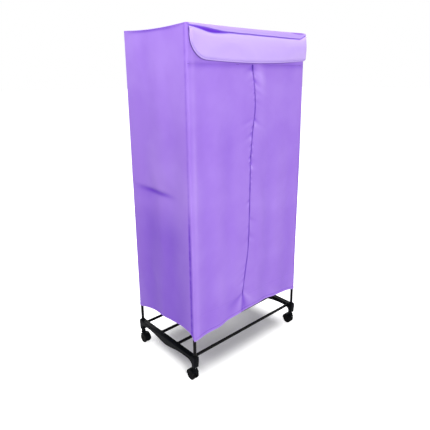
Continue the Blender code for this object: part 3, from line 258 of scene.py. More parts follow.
# Foot brackets. Each seat's ring: rise, width round the tube at its rim and at its foot, and rounding
BRACKET_BEVEL = 0.0024
LEG_BOTTOM_Z, BRACKET_HEAD_Z = (end.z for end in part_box("foot_bracket_left"))
HEAD_RISE = 0.002
LEG_WIDTH = 0.025
LEG_FOOT_WIDTH = 0.019
LEG_CHAMFER = 0.004
BELLY_DROP = 0.0175
BELLY_HALF = 0.075
ARCH_WIDTH = 0.034
ARCH_DROP = 0.022
RAIL_DEPTH = 0.0185
CHANNEL_HALF_X = 0.0045
CHANNEL_HALF_Y = 0.185
CHANNEL_DEPTH = 0.0012
SEAT_GAP = 0.0003
SEAT_FOOT = 0.001
POST_SEAT = (0.004, 0.0028, 0.0042, 0.0006)
BAR_SEAT = (0.0025, 0.0024, 0.0034, 0.0005)
TUBE_WALL = 0.0009
TUBE_EDGE = 0.0002

# Casters
WHEEL_RADIUS = 0.0235
WHEEL_WIDTH = 0.0125
WHEEL_OFFSET = 0.0035
HUB_DEPTH = 0.0006
DISH_DEPTH = 0.0022
TREAD_GROOVES = (0.62, 0.38)
GROOVE_SIZE = 0.0006
TRAIL = 0.017
FENDER_GAP = 0.001
FENDER_WALL = 0.0026
FENDER_FIRST_DEG = -8
FENDER_LAST_DEG = 150
NECK_TOP_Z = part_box("caster_hood_front_left")[1].z
NECK_RADIUS = 0.0105
NECK_EDGE = 0.002
NECK_WAIST_Z = 0.0505
NECK_FLARE_Z = 0.047
NECK_FLARE = 0.0015
NECK_FOOT_Z = 0.0440
WEB_RADIUS = 0.0155
WEB_HALF = 0.003
WEB_NECK_SHARE = 0.9
WEB_TOP_Z = 0.058
WEB_BOTTOM_Z = 0.036
STEM_RADIUS = 0.004
STEM_TIP_RADIUS = 0.0032
STEM_TIP = 0.0012
STEM_COLLAR_RADIUS = 0.007
STEM_COLLAR = 0.002

# Heater
HEATER_WALL = 0.0025
HEATER_CORNER = 0.018
HEATER_SEAM = 0.0006
SLOTS = 9
SLOT_PITCH = 0.014
SLOT_HALF_X = 0.0025
SLOT_HALF_Z = 0.012
ROCKER_ROOM = 0.0005
GRILLE_RINGS = 5
GRILLE_RING_STEP = 0.013
GRILLE_SPOKES = 12
GRILLE_WIRE = 0.0009
GRILLE_RISE = 0.0018
SPOKE_DROP = 0.0008
SPOKE_INSET = 0.0085
RIM_RISE = 0.0033
RIM_WIDTH = 0.0063
RIM_LIP = 0.003

# Light and floor. Each lamp: place, target, size and power in watts
FLOOR_HALF = 40
FLOOR_INSET = 0.10
FLOOR_SHADOW_REACH = 0.175
AMBIENT = 0.46
LAMPS = {
    "key": ((-1.3, -3.2, 2.3), (0, 0, 0.9), 1.2, 58),
    "left_high": ((-1.5, 0.1, 2.2), (-0.34, 0, 1.2), 0.9, 11),
    "back_fill": ((1.8, 2.6, 2.2), (0, 0, 0.8), 1.6, 34),
    "overhead": ((0.2, -0.2, 3.4), (0, 0, 0), 2.0, 30),
}

# Camera fitted to the photograph: where its axis lands, heading from +Y towards +X, pitch down and roll
PHOTO_SIDE_PX = 430
SENSOR_MM = 36
AXIS_PX = (225.0, 187.0)
FOCAL_PX = 430.3
HEADING_DEG = 42.889
PITCH_DEG = 14.505
ROLL_DEG = 0.290
EYE = (-1.3523, -1.5034, 1.3112)

# Mesh making
WELD = 1e-6
BEVEL_DEG = 40
CUT_ROOM = 0.01


# Colour and shader nodes

def linear(channels):
    """An sRGB colour from 0 to 255 as the linear colour that a shader takes."""
    shares = [c / 255 for c in channels]
    return tuple(s / 12.92 if s <= 0.04045 else ((s + 0.055) / 1.055) ** 2.4 for s in shares) + (1.0,)


def add(tree, kind, inputs=None, **settings):
    """A node with its settings, and its inputs as values or as other nodes' outputs."""
    made = tree.nodes.new(kind)
    for key, value in settings.items():
        setattr(made, key, value)
    for key, value in (inputs or {}).items():
        if isinstance(value, bpy.types.NodeSocket):
            tree.links.new(value, made.inputs[key])
        else:
            made.inputs[key].default_value = value
    return made


def math_node(tree, operation, *values):
    return add(tree, "ShaderNodeMath", dict(enumerate(values)), operation=operation).outputs[0]


def blend_colours(tree, share, first, second):
    """A colour between two. 6 and 7 are the mix node's colour inputs and 2 is its colour output."""
    return add(tree, "ShaderNodeMix", {0: share, 6: first, 7: second}, data_type="RGBA").outputs[2]


def grain(tree, place, scale, detail):
    return add(tree, "ShaderNodeTexNoise", {"Vector": place, "Scale": scale, "Detail": detail}).outputs["Fac"]


def spread(tree, value, low, high, start=0.0, end=1.0):
    """A value from low to high brought to start and end."""
    ends = {"From Min": low, "From Max": high, "To Min": start, "To Max": end}
    return add(tree, "ShaderNodeMapRange", {"Value": value, **ends}).outputs["Result"]


def new_material(name, roughness, metallic=0.0, **sockets):
    mat = bpy.data.materials.new(name)
    mat.use_nodes = True
    shader = mat.node_tree.nodes["Principled BSDF"]
    shader.inputs["Roughness"].default_value = roughness
    shader.inputs["Metallic"].default_value = metallic
    for key, value in sockets.items():
        shader.inputs[key.replace("_", " ")].default_value = value
    place = add(mat.node_tree, "ShaderNodeTexCoord").outputs["Object"]
    return mat, mat.node_tree, shader, place


def surface(tree, shader, colour, gloss, height, depth, strength):
    """Colour, roughness and relief go to the shader."""
    bump = add(tree, "ShaderNodeBump", {"Height": height, "Distance": depth, "Strength": strength})
    for key, value in (("Base Color", colour), ("Roughness", gloss), ("Normal", bump.outputs["Normal"])):
        tree.links.new(value, shader.inputs[key])


def moulded(name, dark, light, roughness, grain_scale=900, grain_depth=0.00006, **sockets):
    """Moulded or painted stuff: a little colour variation, a fine grain and patches of wear in its gloss."""
    mat, tree, shader, place = new_material(name, roughness, **sockets)
    share = spread(tree, grain(tree, place, 22, 3), 0.35, 0.65)
    colour = blend_colours(tree, share, linear(dark), linear(light))
    gloss = spread(tree, grain(tree, place, 60, 4), 0.0, 1.0, roughness - 0.07, roughness + 0.09)
    surface(tree, shader, colour, gloss, grain(tree, place, grain_scale, 2), grain_depth, 0.5)
    return mat


def woven(name, plain, deep, pale):
    """Polyester satin: threads both ways, slubs and a soft sheen, random paler clouds, painted shade towards
    the deep colour in folds, creases and along seams, and painted highlights towards the pale colour on
    crests.
    """
    mat, tree, shader, place = new_material(name, 0.50, Sheen_Weight=0.06, Sheen_Roughness=0.40,
                                            Sheen_Tint=linear((214, 190, 255)), Specular_IOR_Level=0.22)
    plain, deep, pale = linear(plain), linear(deep), linear(pale)
    paler = tuple(p + (q - p) * CLOUD_PALE_SHARE for p, q in zip(plain, pale))
    colour = blend_colours(tree, spread(tree, grain(tree, place, 4.5, 3), 0.40, 0.75), plain, paler)
    # The point attribute paints shade towards the deep colour above 0 and paints highlights towards the pale
    # colour below 0, and holds random tone too
    painted_light_and_tone = add(tree, "ShaderNodeAttribute", attribute_name="painted_light_and_tone").outputs["Fac"]
    colour = blend_colours(tree, spread(tree, painted_light_and_tone, 0.0, -1.0), colour, pale)
    colour = blend_colours(tree, painted_light_and_tone, colour, deep)
    split = add(tree, "ShaderNodeSeparateXYZ", {"Vector": place})
    across = math_node(tree, "ADD", split.outputs["X"], split.outputs["Y"])
    threads = [math_node(tree, "SINE", math_node(tree, "MULTIPLY", value, math.tau / pitch))
               for value, pitch in ((across, WEFT_PITCH), (split.outputs["Z"], WARP_PITCH))]
    stretched = add(tree, "ShaderNodeMapping", {"Vector": place, "Scale": (90, 90, 420)}).outputs["Vector"]
    slub = grain(tree, stretched, 1, 3)
    height = math_node(tree, "MULTIPLY_ADD", math_node(tree, "MULTIPLY", *threads), 0.25, slub)
    surface(tree, shader, colour, spread(tree, slub, 0.0, 1.0, 0.44, 0.58), height, 0.00025, 0.35)
    return mat


MATERIALS = {
    # Each satin: its plain colour, the deep colour of its painted shade, and the pale colour of its random
    # clouds and painted highlights
    "violet_cloth": woven("satin_violet", (165, 124, 231), (108, 52, 204), (196, 162, 250)),
    "pale_violet_cloth": woven("satin_pale_violet", (204, 176, 250), (112, 54, 216), (218, 198, 253)),
    "violet_zip": moulded("zip_violet", (104, 58, 194), (118, 72, 206), 0.42, 1400),
    "thread": moulded("sewing_thread", (142, 102, 218), (160, 122, 230), 0.6, 2600),
    "black_tube": moulded("black_powder_coat", (4, 4, 6), (8, 8, 10), 0.22, 1500, 0.00004,
                          Specular_IOR_Level=0.14),
    "black_plastic": moulded("black_moulding", (4, 6, 9), (9, 11, 15), 0.46, 1100, 0.00008,
                             Specular_IOR_Level=0.07),
    "wheel_plastic": moulded("wheel_nylon", (5, 5, 6), (11, 11, 12), 0.52, 800, 0.00010,
                             Specular_IOR_Level=0.08),
    "bright_steel": moulded("nickel_plate", (186, 188, 192), (202, 203, 206), 0.24, 700, 0.00002,
                            metallic=1.0),
    "motor_steel": moulded("motor_can", (140, 142, 146), (160, 162, 166), 0.34, 500, 0.00003,
                           metallic=1.0),
    "element": moulded("heater_fins", (158, 150, 134), (182, 176, 162), 0.46, 600, 0.00004,
                       metallic=0.8),
    "white_plastic": moulded("white_moulding", (222, 223, 225), (232, 232, 233), 0.40, 1200),
    "grey_plastic": moulded("grey_moulding", (104, 106, 112), (116, 118, 124), 0.44, 1200),
    "red_plastic": moulded("red_moulding", (168, 22, 20), (190, 30, 26), 0.28, 1500, 0.00003),
    "amber_lens": moulded("amber_lens_resin", (222, 104, 14), (240, 132, 26), 0.12, 1500, 0.00001,
                          Transmission_Weight=0.4, IOR=1.49),
}


# Mesh helpers

def mix(start, end, share):
    return start + (end - start) * share


def clamp(value, low=0.0, high=1.0):
    return min(max(value, low), high)


def smooth(value, low=0.0, high=1.0):
    """0 below low, 1 above high, and an even rise between."""
    share = clamp((value - low) / (high - low))
    return share * share * (3 - 2 * share)


def bell(value, half):
    return math.exp(-((value / half) ** 2))


def ripple(x, y, z=0.0):
    """Smooth noise from about -1 to 1."""
    return noise.noise(Vector((x, y, z)))


def waves(table, across, down):
    """Height of the waves of a table at a place."""
    return sum(ripple((across + slant * down) / wide, (down + cross * across) / tall, which) * height
               for slant, cross, wide, tall, which, height in table)


def read_shares(table, share):
    """The value at a share, on a smooth curve through the table's points."""
    share = clamp(share, table[0][0], table[-1][0])
    i = max(k for k in range(len(table) - 1) if table[k][0] <= share)
    (low, start), (high, end) = table[i], table[i + 1]
    before, after = table[max(i - 1, 0)], table[min(i + 2, len(table) - 1)]
    span = high - low
    t = (share - low) / span
    leave = span * (end - before[1]) / (high - before[0])
    arrive = span * (after[1] - start) / (after[0] - low)
    return (start * (1 + 2 * t) * (1 - t) ** 2 + leave * t * (1 - t) ** 2
            + end * t * t * (3 - 2 * t) + arrive * t * t * (t - 1))


def new_object(name, mesh):
    obj = bpy.data.objects.new(name, mesh)
    bpy.context.scene.collection.objects.link(obj)
    return obj


def mesh_object(name, verts, faces, weld=0.0, closed=True):
    """A mesh with the faces of closed shells turned outward. Points nearer than weld become one."""
    mesh = bpy.data.meshes.new(name)
    mesh.from_pydata([tuple(v) for v in verts], [], faces)
    work = bmesh.new()
    work.from_mesh(mesh)
    if weld:
        bmesh.ops.remove_doubles(work, verts=work.verts, dist=weld)
    if closed:
        bmesh.ops.recalc_face_normals(work, faces=work.faces)
    work.to_mesh(mesh)
    work.free()
    return new_object(name, mesh)


def ring_faces(rings, count, closed=False, start=0):
    """Faces between rings of points that follow each other, and a cap at each end unless they close."""
    faces = []
    for r in range(rings if closed else rings - 1):
        a, b = start + r * count, start + (r + 1) % rings * count
        faces += [(a + k, a + (k + 1) % count, b + (k + 1) % count, b + k) for k in range(count)]
    if not closed:
        last = start + (rings - 1) * count
        faces += [tuple(reversed(range(start, start + count))), tuple(range(last, last + count))]
    return faces


def applied(obj):
    """The object with its modifiers made into its mesh."""
    bpy.context.view_layer.update()
    seen = obj.evaluated_get(bpy.context.evaluated_depsgraph_get())
    mesh = bpy.data.meshes.new_from_object(seen)
    obj.modifiers.clear()
    obj.data = mesh
    return obj


def finish(obj, slot, body=None, replaces=(), sharp_deg=40):
    """Material for the slot, shading and the CAD body that the piece moves with."""
    obj.data.materials.clear()
    obj.data.materials.append(MATERIALS[slot])
    "violet_cloth" if slot == "thread" else slot
    obj.data.shade_smooth()
    obj.data.set_sharp_from_angle(angle=math.radians(sharp_deg))
    if body:
        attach(obj, body)
    if replaces:
        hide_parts(*replaces)
    return obj


def sheet_mesh(name, columns, rows, point, thickness=CLOTH):
    """A closed cloth panel. point(u, v) gives a place and a colour share from -1 to 1: painted shade above 0,
    painted highlight below 0, with random tone mixed in.
    """
    width = columns + 1
    found = [point(i / columns, j / rows) for j in range(rows + 1) for i in range(width)]
    faces = [(a, a + 1, a + 1 + width, a + width)
             for j in range(rows) for a in range(j * width, j * width + columns)]
    obj = mesh_object(name, [p for p, _ in found], faces, closed=False)
    # Stored on each point for the satin: painted shade, painted highlight and random tone
    depth = obj.data.attributes.new("painted_light_and_tone", "FLOAT", "POINT")
    depth.data.foreach_set("value", [clamp(d, -1.0) for _, d in found])
    solidify = obj.modifiers.new("cloth", "SOLIDIFY")
    solidify.thickness = thickness
    solidify.offset = -1
    solidify.use_even_offset = False
    return applied(obj)


def soften(points, size, steps=3, closed=False):
    """An outline whose corners are rounded off by a size."""
    points = [Vector(p) for p in points]
    count = len(points)
    made = []
    for i, point in enumerate(points):
        if not closed and i in (0, count - 1):
            made.append(point)
            continue
        ends = []
        for other in (points[i - 1], points[(i + 1) % count]):
            away = other - point
            ends.append(point + away.normalized() * min(size, away.length * 0.45))
        for k in range(steps + 1):
            t = k / steps
            made.append(ends[0] * (1 - t) ** 2 + point * 2 * t * (1 - t) + ends[1] * t * t)
    return made


def lathe(name, profile, place=Matrix(), steps=48, closed=False, soft=0.0):
    """A profile of radius and height turned about Z and moved into place."""
    if soft:
        profile = soften(profile, soft, closed=closed)
    count = len(profile)
    turns = [math.tau * k / steps for k in range(steps)]
    verts = [(p[0] * math.cos(turn), p[0] * math.sin(turn), p[1]) for turn in turns for p in profile]
    faces = []
    for k in range(steps):
        a, b = k * count, (k + 1) % steps * count
        for i in range(count if closed else count - 1):
            j = (i + 1) % count
            faces.append((a + i, b + i, b + j, a + j))
    obj = mesh_object(name, verts, faces, weld=WELD)
    obj.data.transform(place)
    return obj


def extrude(name, outline, low, high, bevel=0.0, segments=3, place=Matrix()):
    """A closed outline in XY given a height along Z, with rounded edges."""
    verts = [(x, y, z) for z in (low, high) for x, y in outline]
    obj = mesh_object(name, verts, ring_faces(2, len(outline)))
    if bevel:
        mod = obj.modifiers.new("round", "BEVEL")
        mod.width = bevel
        mod.segments = segments
        mod.limit_method = "ANGLE"
        mod.angle_limit = math.radians(BEVEL_DEG)
        applied(obj)
    obj.data.transform(place)
    return obj


def boolean(obj, other, operation="DIFFERENCE"):
    mod = obj.modifiers.new("cut", "BOOLEAN")
    mod.operation = operation
    mod.solver = "EXACT"
    mod.object = other
    applied(obj)
    bpy.data.objects.remove(other, do_unlink=True)
    return obj


def joined(name, objects):
    """Several closed shells as one mesh."""
    verts, faces = [], []
    for obj in objects:
        start = len(verts)
        verts += [v.co.copy() for v in obj.data.vertices]
        faces += [tuple(start + i for i in p.vertices) for p in obj.data.polygons]
        bpy.data.objects.remove(obj, do_unlink=True)
    return mesh_object(name, verts, faces)


def along(path, closed, spacing):
    """Points at even steps on a path, each with its direction."""
    points = [Vector(p) for p in path] + ([Vector(path[0])] if closed else [])
    lengths = [(b - a).length for a, b in zip(points, points[1:])]
    total = sum(lengths)
    count = max(int(total / spacing), 1)
    made, i, passed = [], 0, 0.0
    for k in range(count + (0 if closed else 1)):
        want = total * k / count
        while i < len(lengths) - 1 and passed + lengths[i] < want:
            passed += lengths[i]
            i += 1
        share = (want - passed) / lengths[i]
        made.append((points[i].lerp(points[i + 1], share), (points[i + 1] - points[i]).normalized()))
    return made


def ring_points(centre, side, other, radius, sides):
    """Points of a circle round a centre, in the plane of two directions."""
    turns = [math.tau * k / sides for k in range(sides)]
    return [centre + (side * math.cos(turn) + other * math.sin(turn)) * radius for turn in turns]


def tube_mesh(name, path, radius, closed=False, sides=10, spacing=0.008):
    """A round cord, wire or piping along a path."""
    found = along(path, closed, spacing)
    verts = []
    side = found[0][1].orthogonal()
    for place, ahead in found:
        side = (side - ahead * side.dot(ahead)).normalized()
        verts += ring_points(place, side, ahead.cross(side), radius, sides)
    return mesh_object(name, verts, ring_faces(len(found), sides, closed))


def stitches(name, path, closed=False):
    """A row of sewing stitches that stand a little proud of the cloth."""
    verts, faces = [], []
    for place, ahead in along(path, closed, STITCH_PITCH):
        side = ahead.orthogonal().normalized()
        start, reach = len(verts), ahead * STITCH_LENGTH
        verts.append(place - reach / 2)
        for share in (-0.3, 0.3):
            verts += ring_points(place + reach * share, side, ahead.cross(side), STITCH_RADIUS, STITCH_SIDES)
        verts.append(place + reach / 2)
        for k in range(STITCH_SIDES):
            a, b = start + 1 + k, start + 1 + (k + 1) % STITCH_SIDES
            c, d = a + STITCH_SIDES, b + STITCH_SIDES
            faces += [(start, b, a), (a, b, d, c), (c, d, len(verts) - 1)]
    return mesh_object(name, verts, faces)


# Cover surfaces

# Each panel: its direction towards the viewer's right, its outward one, half its length, and its distance
PANELS = {
    "front": (Vector((1, 0, 0)), Vector((0, -1, 0)), HALF_X, HALF_Y),
    "left": (Vector((0, -1, 0)), Vector((-1, 0, 0)), HALF_Y, HALF_X),
    "back": (Vector((-1, 0, 0)), Vector((0, 1, 0)), HALF_X, HALF_Y),
    "right": (Vector((0, 1, 0)), Vector((1, 0, 0)), HALF_Y, HALF_X),
}


def half_run(panel):
    """Length of cloth from a panel's middle to the middle of the bend at its corner."""
    return PANELS[panel][2] - CORNER_RADIUS + CORNER_RADIUS * math.pi / 4


def top_z(x, y):
    return TOP_Z - SIDE_DIP * (1 - (y / HALF_Y) ** 2) - FRONT_DIP * (1 - (x / HALF_X) ** 2)


def hem_z(panel, t):
    """Hem height at a place along a panel, measured from its middle towards the viewer's right."""
    right = PANELS[panel][0]
    if right.x:
        return HEM_CORNER_Z + FRONT_HEM_RISE * read_shares(FRONT_HEM_SHARES, right.x * t / HALF_X)
    return HEM_CORNER_Z + SIDE_HEM_RISE * read_shares(SIDE_HEM_SHARES, right.y * t / HALF_Y)


def fold_wave(share):
    return math.sin(math.pi * FOLDS * clamp(share)) ** 2


def fold_depth(z):
    """Folds are pulled flat below the frame's top and hang deepest at the hem."""
    return math.sin(math.pi / 2 * clamp((FOLD_TOP_Z - z) / (FOLD_TOP_Z - HEM_CORNER_Z)))


def zip_x(z):
    share = (DOOR_TOP_Z - z) / (DOOR_TOP_Z - DOOR_BOTTOM_Z)
    return ZIP_TOP_X - ZIP_DRIFT * read_shares(ZIP_SEAM_SHARES, share)


def zip_gap(z):
    """Distance between the edges of the front, wider where they part at the top."""
    spread = ZIP_TOP_SPREAD * smooth(z, DOOR_TOP_Z - ZIP_SPREAD_DROP, DOOR_TOP_Z)
    return ZIP_GAP + spread + ZIP_GAP_WANDER * ripple(z / 0.02, 71.0)


def pucker(x, z):
    """Small gathers that the zip pulls into the cloth on both sides of its seam, from 0 to 1."""
    off = abs(x - zip_x(z))
    rise, row_noise, patch_noise, tick_noise = RIGHT_OF_ZIP if x > zip_x(z) else LEFT_OF_ZIP
    slanted = z + 0.55 * off + rise
    below_flap = 1 - smooth(z, DOOR_TOP_Z - PUCKER_END, DOOR_TOP_Z)
    reach = PUCKER_REACH * (0.75 + 0.5 * ripple(z / PUCKER_TALL, 3.1))
    near = math.exp(-off / reach) * smooth(off, 0.0005, 0.006) * below_flap
    row = smooth(ripple(slanted / PUCKER_PITCH, row_noise), -0.15, 0.38)
    patch = smooth(ripple(z / PATCH_TALL, patch_noise), -0.18, 0.32) * mix(0.45, 1.0, smooth(z, 0.6, 1.0))
    tick = bell(off - TICK_OFF, TICK_HALF) * smooth(ripple(slanted / TICK_PITCH, tick_noise), 0.05, 0.4)
    return near * row * patch + 0.45 * tick * below_flap * smooth(z, 0.7, 0.95)


def zip_end_folds(x, z):
    """Ridges, and valleys below 0, that fan out of the lower end of the zip."""
    dx, dz = x - zip_x(DOOR_BOTTOM_Z + FAN_RISE), DOOR_BOTTOM_Z + FAN_RISE - z
    reach = math.hypot(dx, dz)
    window = smooth(reach, 0.0, FAN_START) * (1 - smooth(reach, FAN_FADE, FAN_END))
    turn = math.atan2(dx, dz)
    return window * sum(height * bell(turn - middle, width) for middle, width, height in FAN_SHARES)


def front_push(x, z):
    """How far the front stands out of its plane, and its colour share: painted shade in fold valleys, puckers
    and the fan's valleys, below the flap, along the zip and at the right corner, painted highlights on
    crests, and random clouds.
    """
    inset = INNER_X - abs(x)
    zip_off = x - zip_x(z)
    below_top = DOOR_TOP_Z - z
    depth = fold_depth(z)
    wave = 0
    if x < CALM_LEFT_X:
        wave = fold_wave((x + INNER_X) / (CALM_LEFT_X + INNER_X))
    elif x > CALM_RIGHT_X:
        wave = fold_wave((INNER_X - x) / (INNER_X - CALM_RIGHT_X))
    free = smooth(inset, 0.0, POST_HOLD) * smooth(abs(zip_off), ZIP_HOLD_NEAR, ZIP_HOLD_FAR)
    drag = DRAG_HEIGHT * math.sin((abs(x) * 0.9 + z) / DRAG_PITCH)
    drag *= bell(math.hypot(inset, below_top * 0.4), DRAG_REACH)
    gather, fan = pucker(x, z), zip_end_folds(x, z)
    ridge = bell(x + HALF_X - RIDGE_INSET, RIDGE_HALF)
    ridge *= 0.45 + 0.55 * bell(z - RIDGE_Z, RIDGE_TALL) + 0.3 * ripple(z / 0.06, 81.0)
    bulge = bell(zip_off - BULGE_OFF - 0.12 * below_top, BULGE_HALF)
    bulge *= bell(BULGE_DROP - below_top, BULGE_TALL)
    swell = smooth(x, SWELL_LEFT_X, INNER_X) * smooth(z, SWELL_LOW_Z, SWELL_HIGH_Z)
    push = free * (waves(FRONT_WAVES, x, z) * (0.35 + 0.65 * depth) + drag) - FRONT_FOLD * wave * depth
    push += SWELL_HEIGHT * swell + FAN_HEIGHT * clamp(fan, -1.0) - PUCKER_DEPTH * gather
    push += RIDGE_HEIGHT * ridge + BULGE_HEIGHT * bulge
    # The slider stops in front of the band, which lies flat there
    stop = 1.8 * bell(x - zip_x(DOOR_BOTTOM_Z), STOP_HALF_X)
    stop *= bell(z - DOOR_BOTTOM_Z + STOP_DROP, STOP_HALF_Z)
    push = mix(push, min(push, -STOP_SUNK), clamp(stop))
    # Painted highlights on the crests of the puckers, the fan's ridges, the ridge round the near post and the
    # bulge by the zip
    crest_highlight = 1.1 * pucker(x, z + PUCKER_PITCH / 2) + 0.5 * clamp(fan) + 0.38 * clamp(ridge) + 0.6 * bulge
    # Painted shade in the fold valleys, the puckers and the fan's valleys
    painted_light_and_tone = 0.12 * wave * depth + 0.75 * gather + 0.6 * clamp(-fan) - crest_highlight
    # A painted shadow below the flap, along the header's seam
    painted_light_and_tone += 0.35 * bell(HEADER_SHADE_DROP - below_top, HEADER_SHADE_HALF)
    # Painted shade along the zip's seam
    if below_top > 0:
        painted_light_and_tone += 0.7 * bell(zip_off, ZIP_SHADE_HALF) * (0.7 + 0.5 * ripple(z / 0.05, 83.0))
    # Painted shade down the lower part of the right corner
    corner = bell(HALF_X - CORNER_SHADE_INSET - x, CORNER_SHADE_HALF)
    painted_light_and_tone += 0.8 * corner * (1 - smooth(z, CORNER_SHADE_LOW_Z, CORNER_SHADE_TOP_Z))
    return push, painted_light_and_tone - free * waves(FRONT_CLOUDS, x, z)


def side_push(y, z):
    """The same for a side."""
    share = clamp((y + INNER_Y) / (2 * INNER_Y))
    middle = math.sin(math.pi * share)
    folds = fold_wave(share) * fold_depth(z)
    off = z - CREASE_Z - CREASE_TILT * y
    strength = smooth(y, -0.15, 0.02)
    step = CREASE_STEP * (smooth(off, -0.004, 0.012) - 0.5) * bell(off, CREASE_STEP_REACH)
    step *= strength * (0.35 + 0.65 * middle)
    gathers = waves(GATHER_WAVES, y, z) * bell(TOP_Z - z, GATHER_REACH) * smooth(middle, 0, 0.3)
    push = step + gathers - SIDE_FOLD * folds
    push += middle * (waves(SIDE_WAVES, y, z) - CREASE_DIP * bell(off, CREASE_HALF))
    if push < 0:
        push *= 1 - smooth(z, TOP_Z - TAUT_LOW_DROP, TOP_Z - TAUT_TOP_DROP)
    # Painted shade in the fold valleys and along the crease
    painted_light_and_tone = 0.10 * folds + 0.8 * bell(off + 0.006, 0.012) * strength * middle
    # A painted shade patch just below the crease
    painted_light_and_tone += 0.22 * bell(off + 0.022, 0.030) * bell(y - 0.08, 0.09)
    # Painted shade: the side darker below the crease, as if less light reached its lower part
    painted_light_and_tone += 0.50 * smooth(-off, -0.02, 0.22) * (0.5 + 0.5 * middle)
    # Painted shade under the top seam, and random clouds
    painted_light_and_tone += 0.8 * bell(TOP_Z - TOP_SHADE_DROP - z, TOP_SHADE_HALF) * middle - waves(SIDE_CLOUDS, y, z)
    # The stitched line a little behind the front corner, deeper below the height of the crease, sunk in and
    # with painted shade along it
    groove = bell(y + HALF_Y - STITCH_LINE_INSET, GROOVE_HALF) * (0.65 + 0.5 * ripple(z / 0.022, 97.0))
    groove *= mix(1.0, 0.3, smooth(z, GROOVE_LOW_Z, GROOVE_HIGH_Z))
    return push - GROOVE_DEPTH * groove, painted_light_and_tone + 1.5 * groove


def back_push(x, z):
    """The same for the back."""
    depth = fold_depth(z)
    bow = BACK_BULGE * (1 - (x / HALF_X) ** 2) * depth
    free = smooth(POST_X - abs(x), 0, BACK_HOLD) * (0.4 + 0.6 * depth)
    return bow + waves(BACK_WAVES, x, z) * free, -waves(BACK_CLOUDS, x, z)


def panel_point(panel, s, z, extra=0.0):
    """A point of the cover, s along a panel from its middle, and its colour share of painted shade, painted
    highlight and random tone.
    """
    right, out, along_half, distance = PANELS[panel]
    flat = along_half - CORNER_RADIUS
    turn = max(abs(s) - flat, 0) / CORNER_RADIUS
    sign = math.copysign(1, s)
    t = sign * (min(abs(s), flat) + CORNER_RADIUS * math.sin(turn))
    normal = right * sign * math.sin(turn) + out * math.cos(turn)
    place = right * t + out * (distance - CORNER_RADIUS * (1 - math.cos(turn)))
    if panel == "front":
        push, painted_light_and_tone = front_push(place.x, z)
    elif panel == "back":
        push, painted_light_and_tone = back_push(place.x, z)
    else:
        push, painted_light_and_tone = side_push(place.y, z)
    if turn:
        push *= math.cos(min(turn * 2, math.pi / 2)) ** 0.5
    hem = z - hem_z(panel, t)
    push += HEM_SWELL * (1 - smooth(hem, HEM_FOLD, HEM_FOLD + HEM_STEP))
    # Painted shade along the top of the hem's fold, and a painted highlight on the hem's lower edge
    painted_light_and_tone += 0.5 * bell(hem - HEM_FOLD - 0.001, 0.0012) - 0.6 * bell(hem, 0.004)
    place = place + normal * (push + extra)
    return Vector((place.x, place.y, z)), painted_light_and_tone


# Sewn panels

def hem_of(panel):
    return lambda s: hem_z(panel, s)


def top_seam_of(panel):
    """Height of the seam under the top sheet, along a panel."""
    right, out, along_half, distance = PANELS[panel]

    def seam_z(s):
        place = right * clamp(s, -along_half, along_half) + out * distance
        return top_z(place.x, place.y) - TOP_SEAM_DROP
    return seam_z


def cover_panel(node, panel, columns, rows, low_z, high_z, tuck=None):
    """A panel from corner to corner, between two heights that may change along it. tuck(z) takes it in."""
    run = half_run(panel)

    def point(u, v):
        s = mix(-run, run, u)
        z = mix(low_z(s), high_z(s), v)
        return panel_point(panel, s, z, -tuck(z) if tuck else 0.0)
    piece = finish(sheet_mesh(node + "_cloth", columns, rows, point), "violet_cloth", "frame", (node,))


def build_walls():
    """Sides, back, header and lower band of the sewn cover, round the corners of the posts."""
    for side, _ in SIDES:
        cover_panel(f"cover_side_{side}", side, 84, 230, hem_of(side), top_seam_of(side))
    cover_panel("cover_back", "back", 110, 230, hem_of("back"), top_seam_of("back"))
    cover_panel("cover_header", "front", 150, 34, lambda s: DOOR_TOP_Z + HEADER_GAP, top_seam_of("front"))
    # The band's upper edge goes behind the lower edge of the zipped front
    turn_z = DOOR_BOTTOM_Z - DOOR_GAP
    cover_panel("cover_lower_band", "front", 190, 44, hem_of("front"), lambda s: turn_z + BAND_LAP,
                lambda z: BAND_TUCK * smooth(z, turn_z - 0.0004, turn_z + 0.0025))


def build_top():
    """The top sheet, rounded at its corners, with its edge turned down to the seam."""
    def point(u, v):
        x, y = mix(-HALF_X, HALF_X, u), mix(-HALF_Y, HALF_Y, v)
        dx, dy = abs(x) - HALF_X + CORNER_RADIUS, abs(y) - HALF_Y + CORNER_RADIUS
        edge = min(HALF_X - abs(x), HALF_Y - abs(y))
        if dx > 0 and dy > 0:
            scale = max(dx, dy) / math.hypot(dx, dy)
            x = math.copysign(HALF_X - CORNER_RADIUS + dx * scale, x)
            y = math.copysign(HALF_Y - CORNER_RADIUS + dy * scale, y)
            edge = CORNER_RADIUS - math.hypot(dx * scale, dy * scale)
        z = top_z(x, y) - TOP_SEAM_DROP * (1 - smooth(edge, 0.0, TOP_TURN))
        z += waves(TOP_WAVES, x, y) * smooth(edge, 0.0, 0.05)
        corner = bell(math.hypot(HALF_X - abs(x), HALF_Y - abs(y)), TOP_PULL_REACH)
        z += TOP_PULL * ripple((abs(x) - abs(y)) / 0.02, 2.0, 43.0) * corner * smooth(edge, 0, 0.01)
        return Vector((x, y, z)), 0.0
    top = sheet_mesh("cover_top_cloth", 150, 110, point)
    finish(top, "violet_cloth", "frame", ("cover_top",))


def build_doors():
    """The two halves of the zipped front. Each bends where it leaves its post."""
    run = half_run("front")
    for side, sign in SIDES:
        def point(u, v, sign=sign):
            z = mix(DOOR_BOTTOM_Z, DOOR_TOP_Z, v)
            edge = zip_x(z) + sign * zip_gap(z) / 2
            return panel_point("front", mix(-run, edge, u) if sign < 0 else mix(edge, run, u), z)
        door = sheet_mesh(f"front_door_{side}_cloth", 96, 230, point)
        finish(door, "violet_cloth", None, (f"front_door_{side}",))
        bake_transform(door)


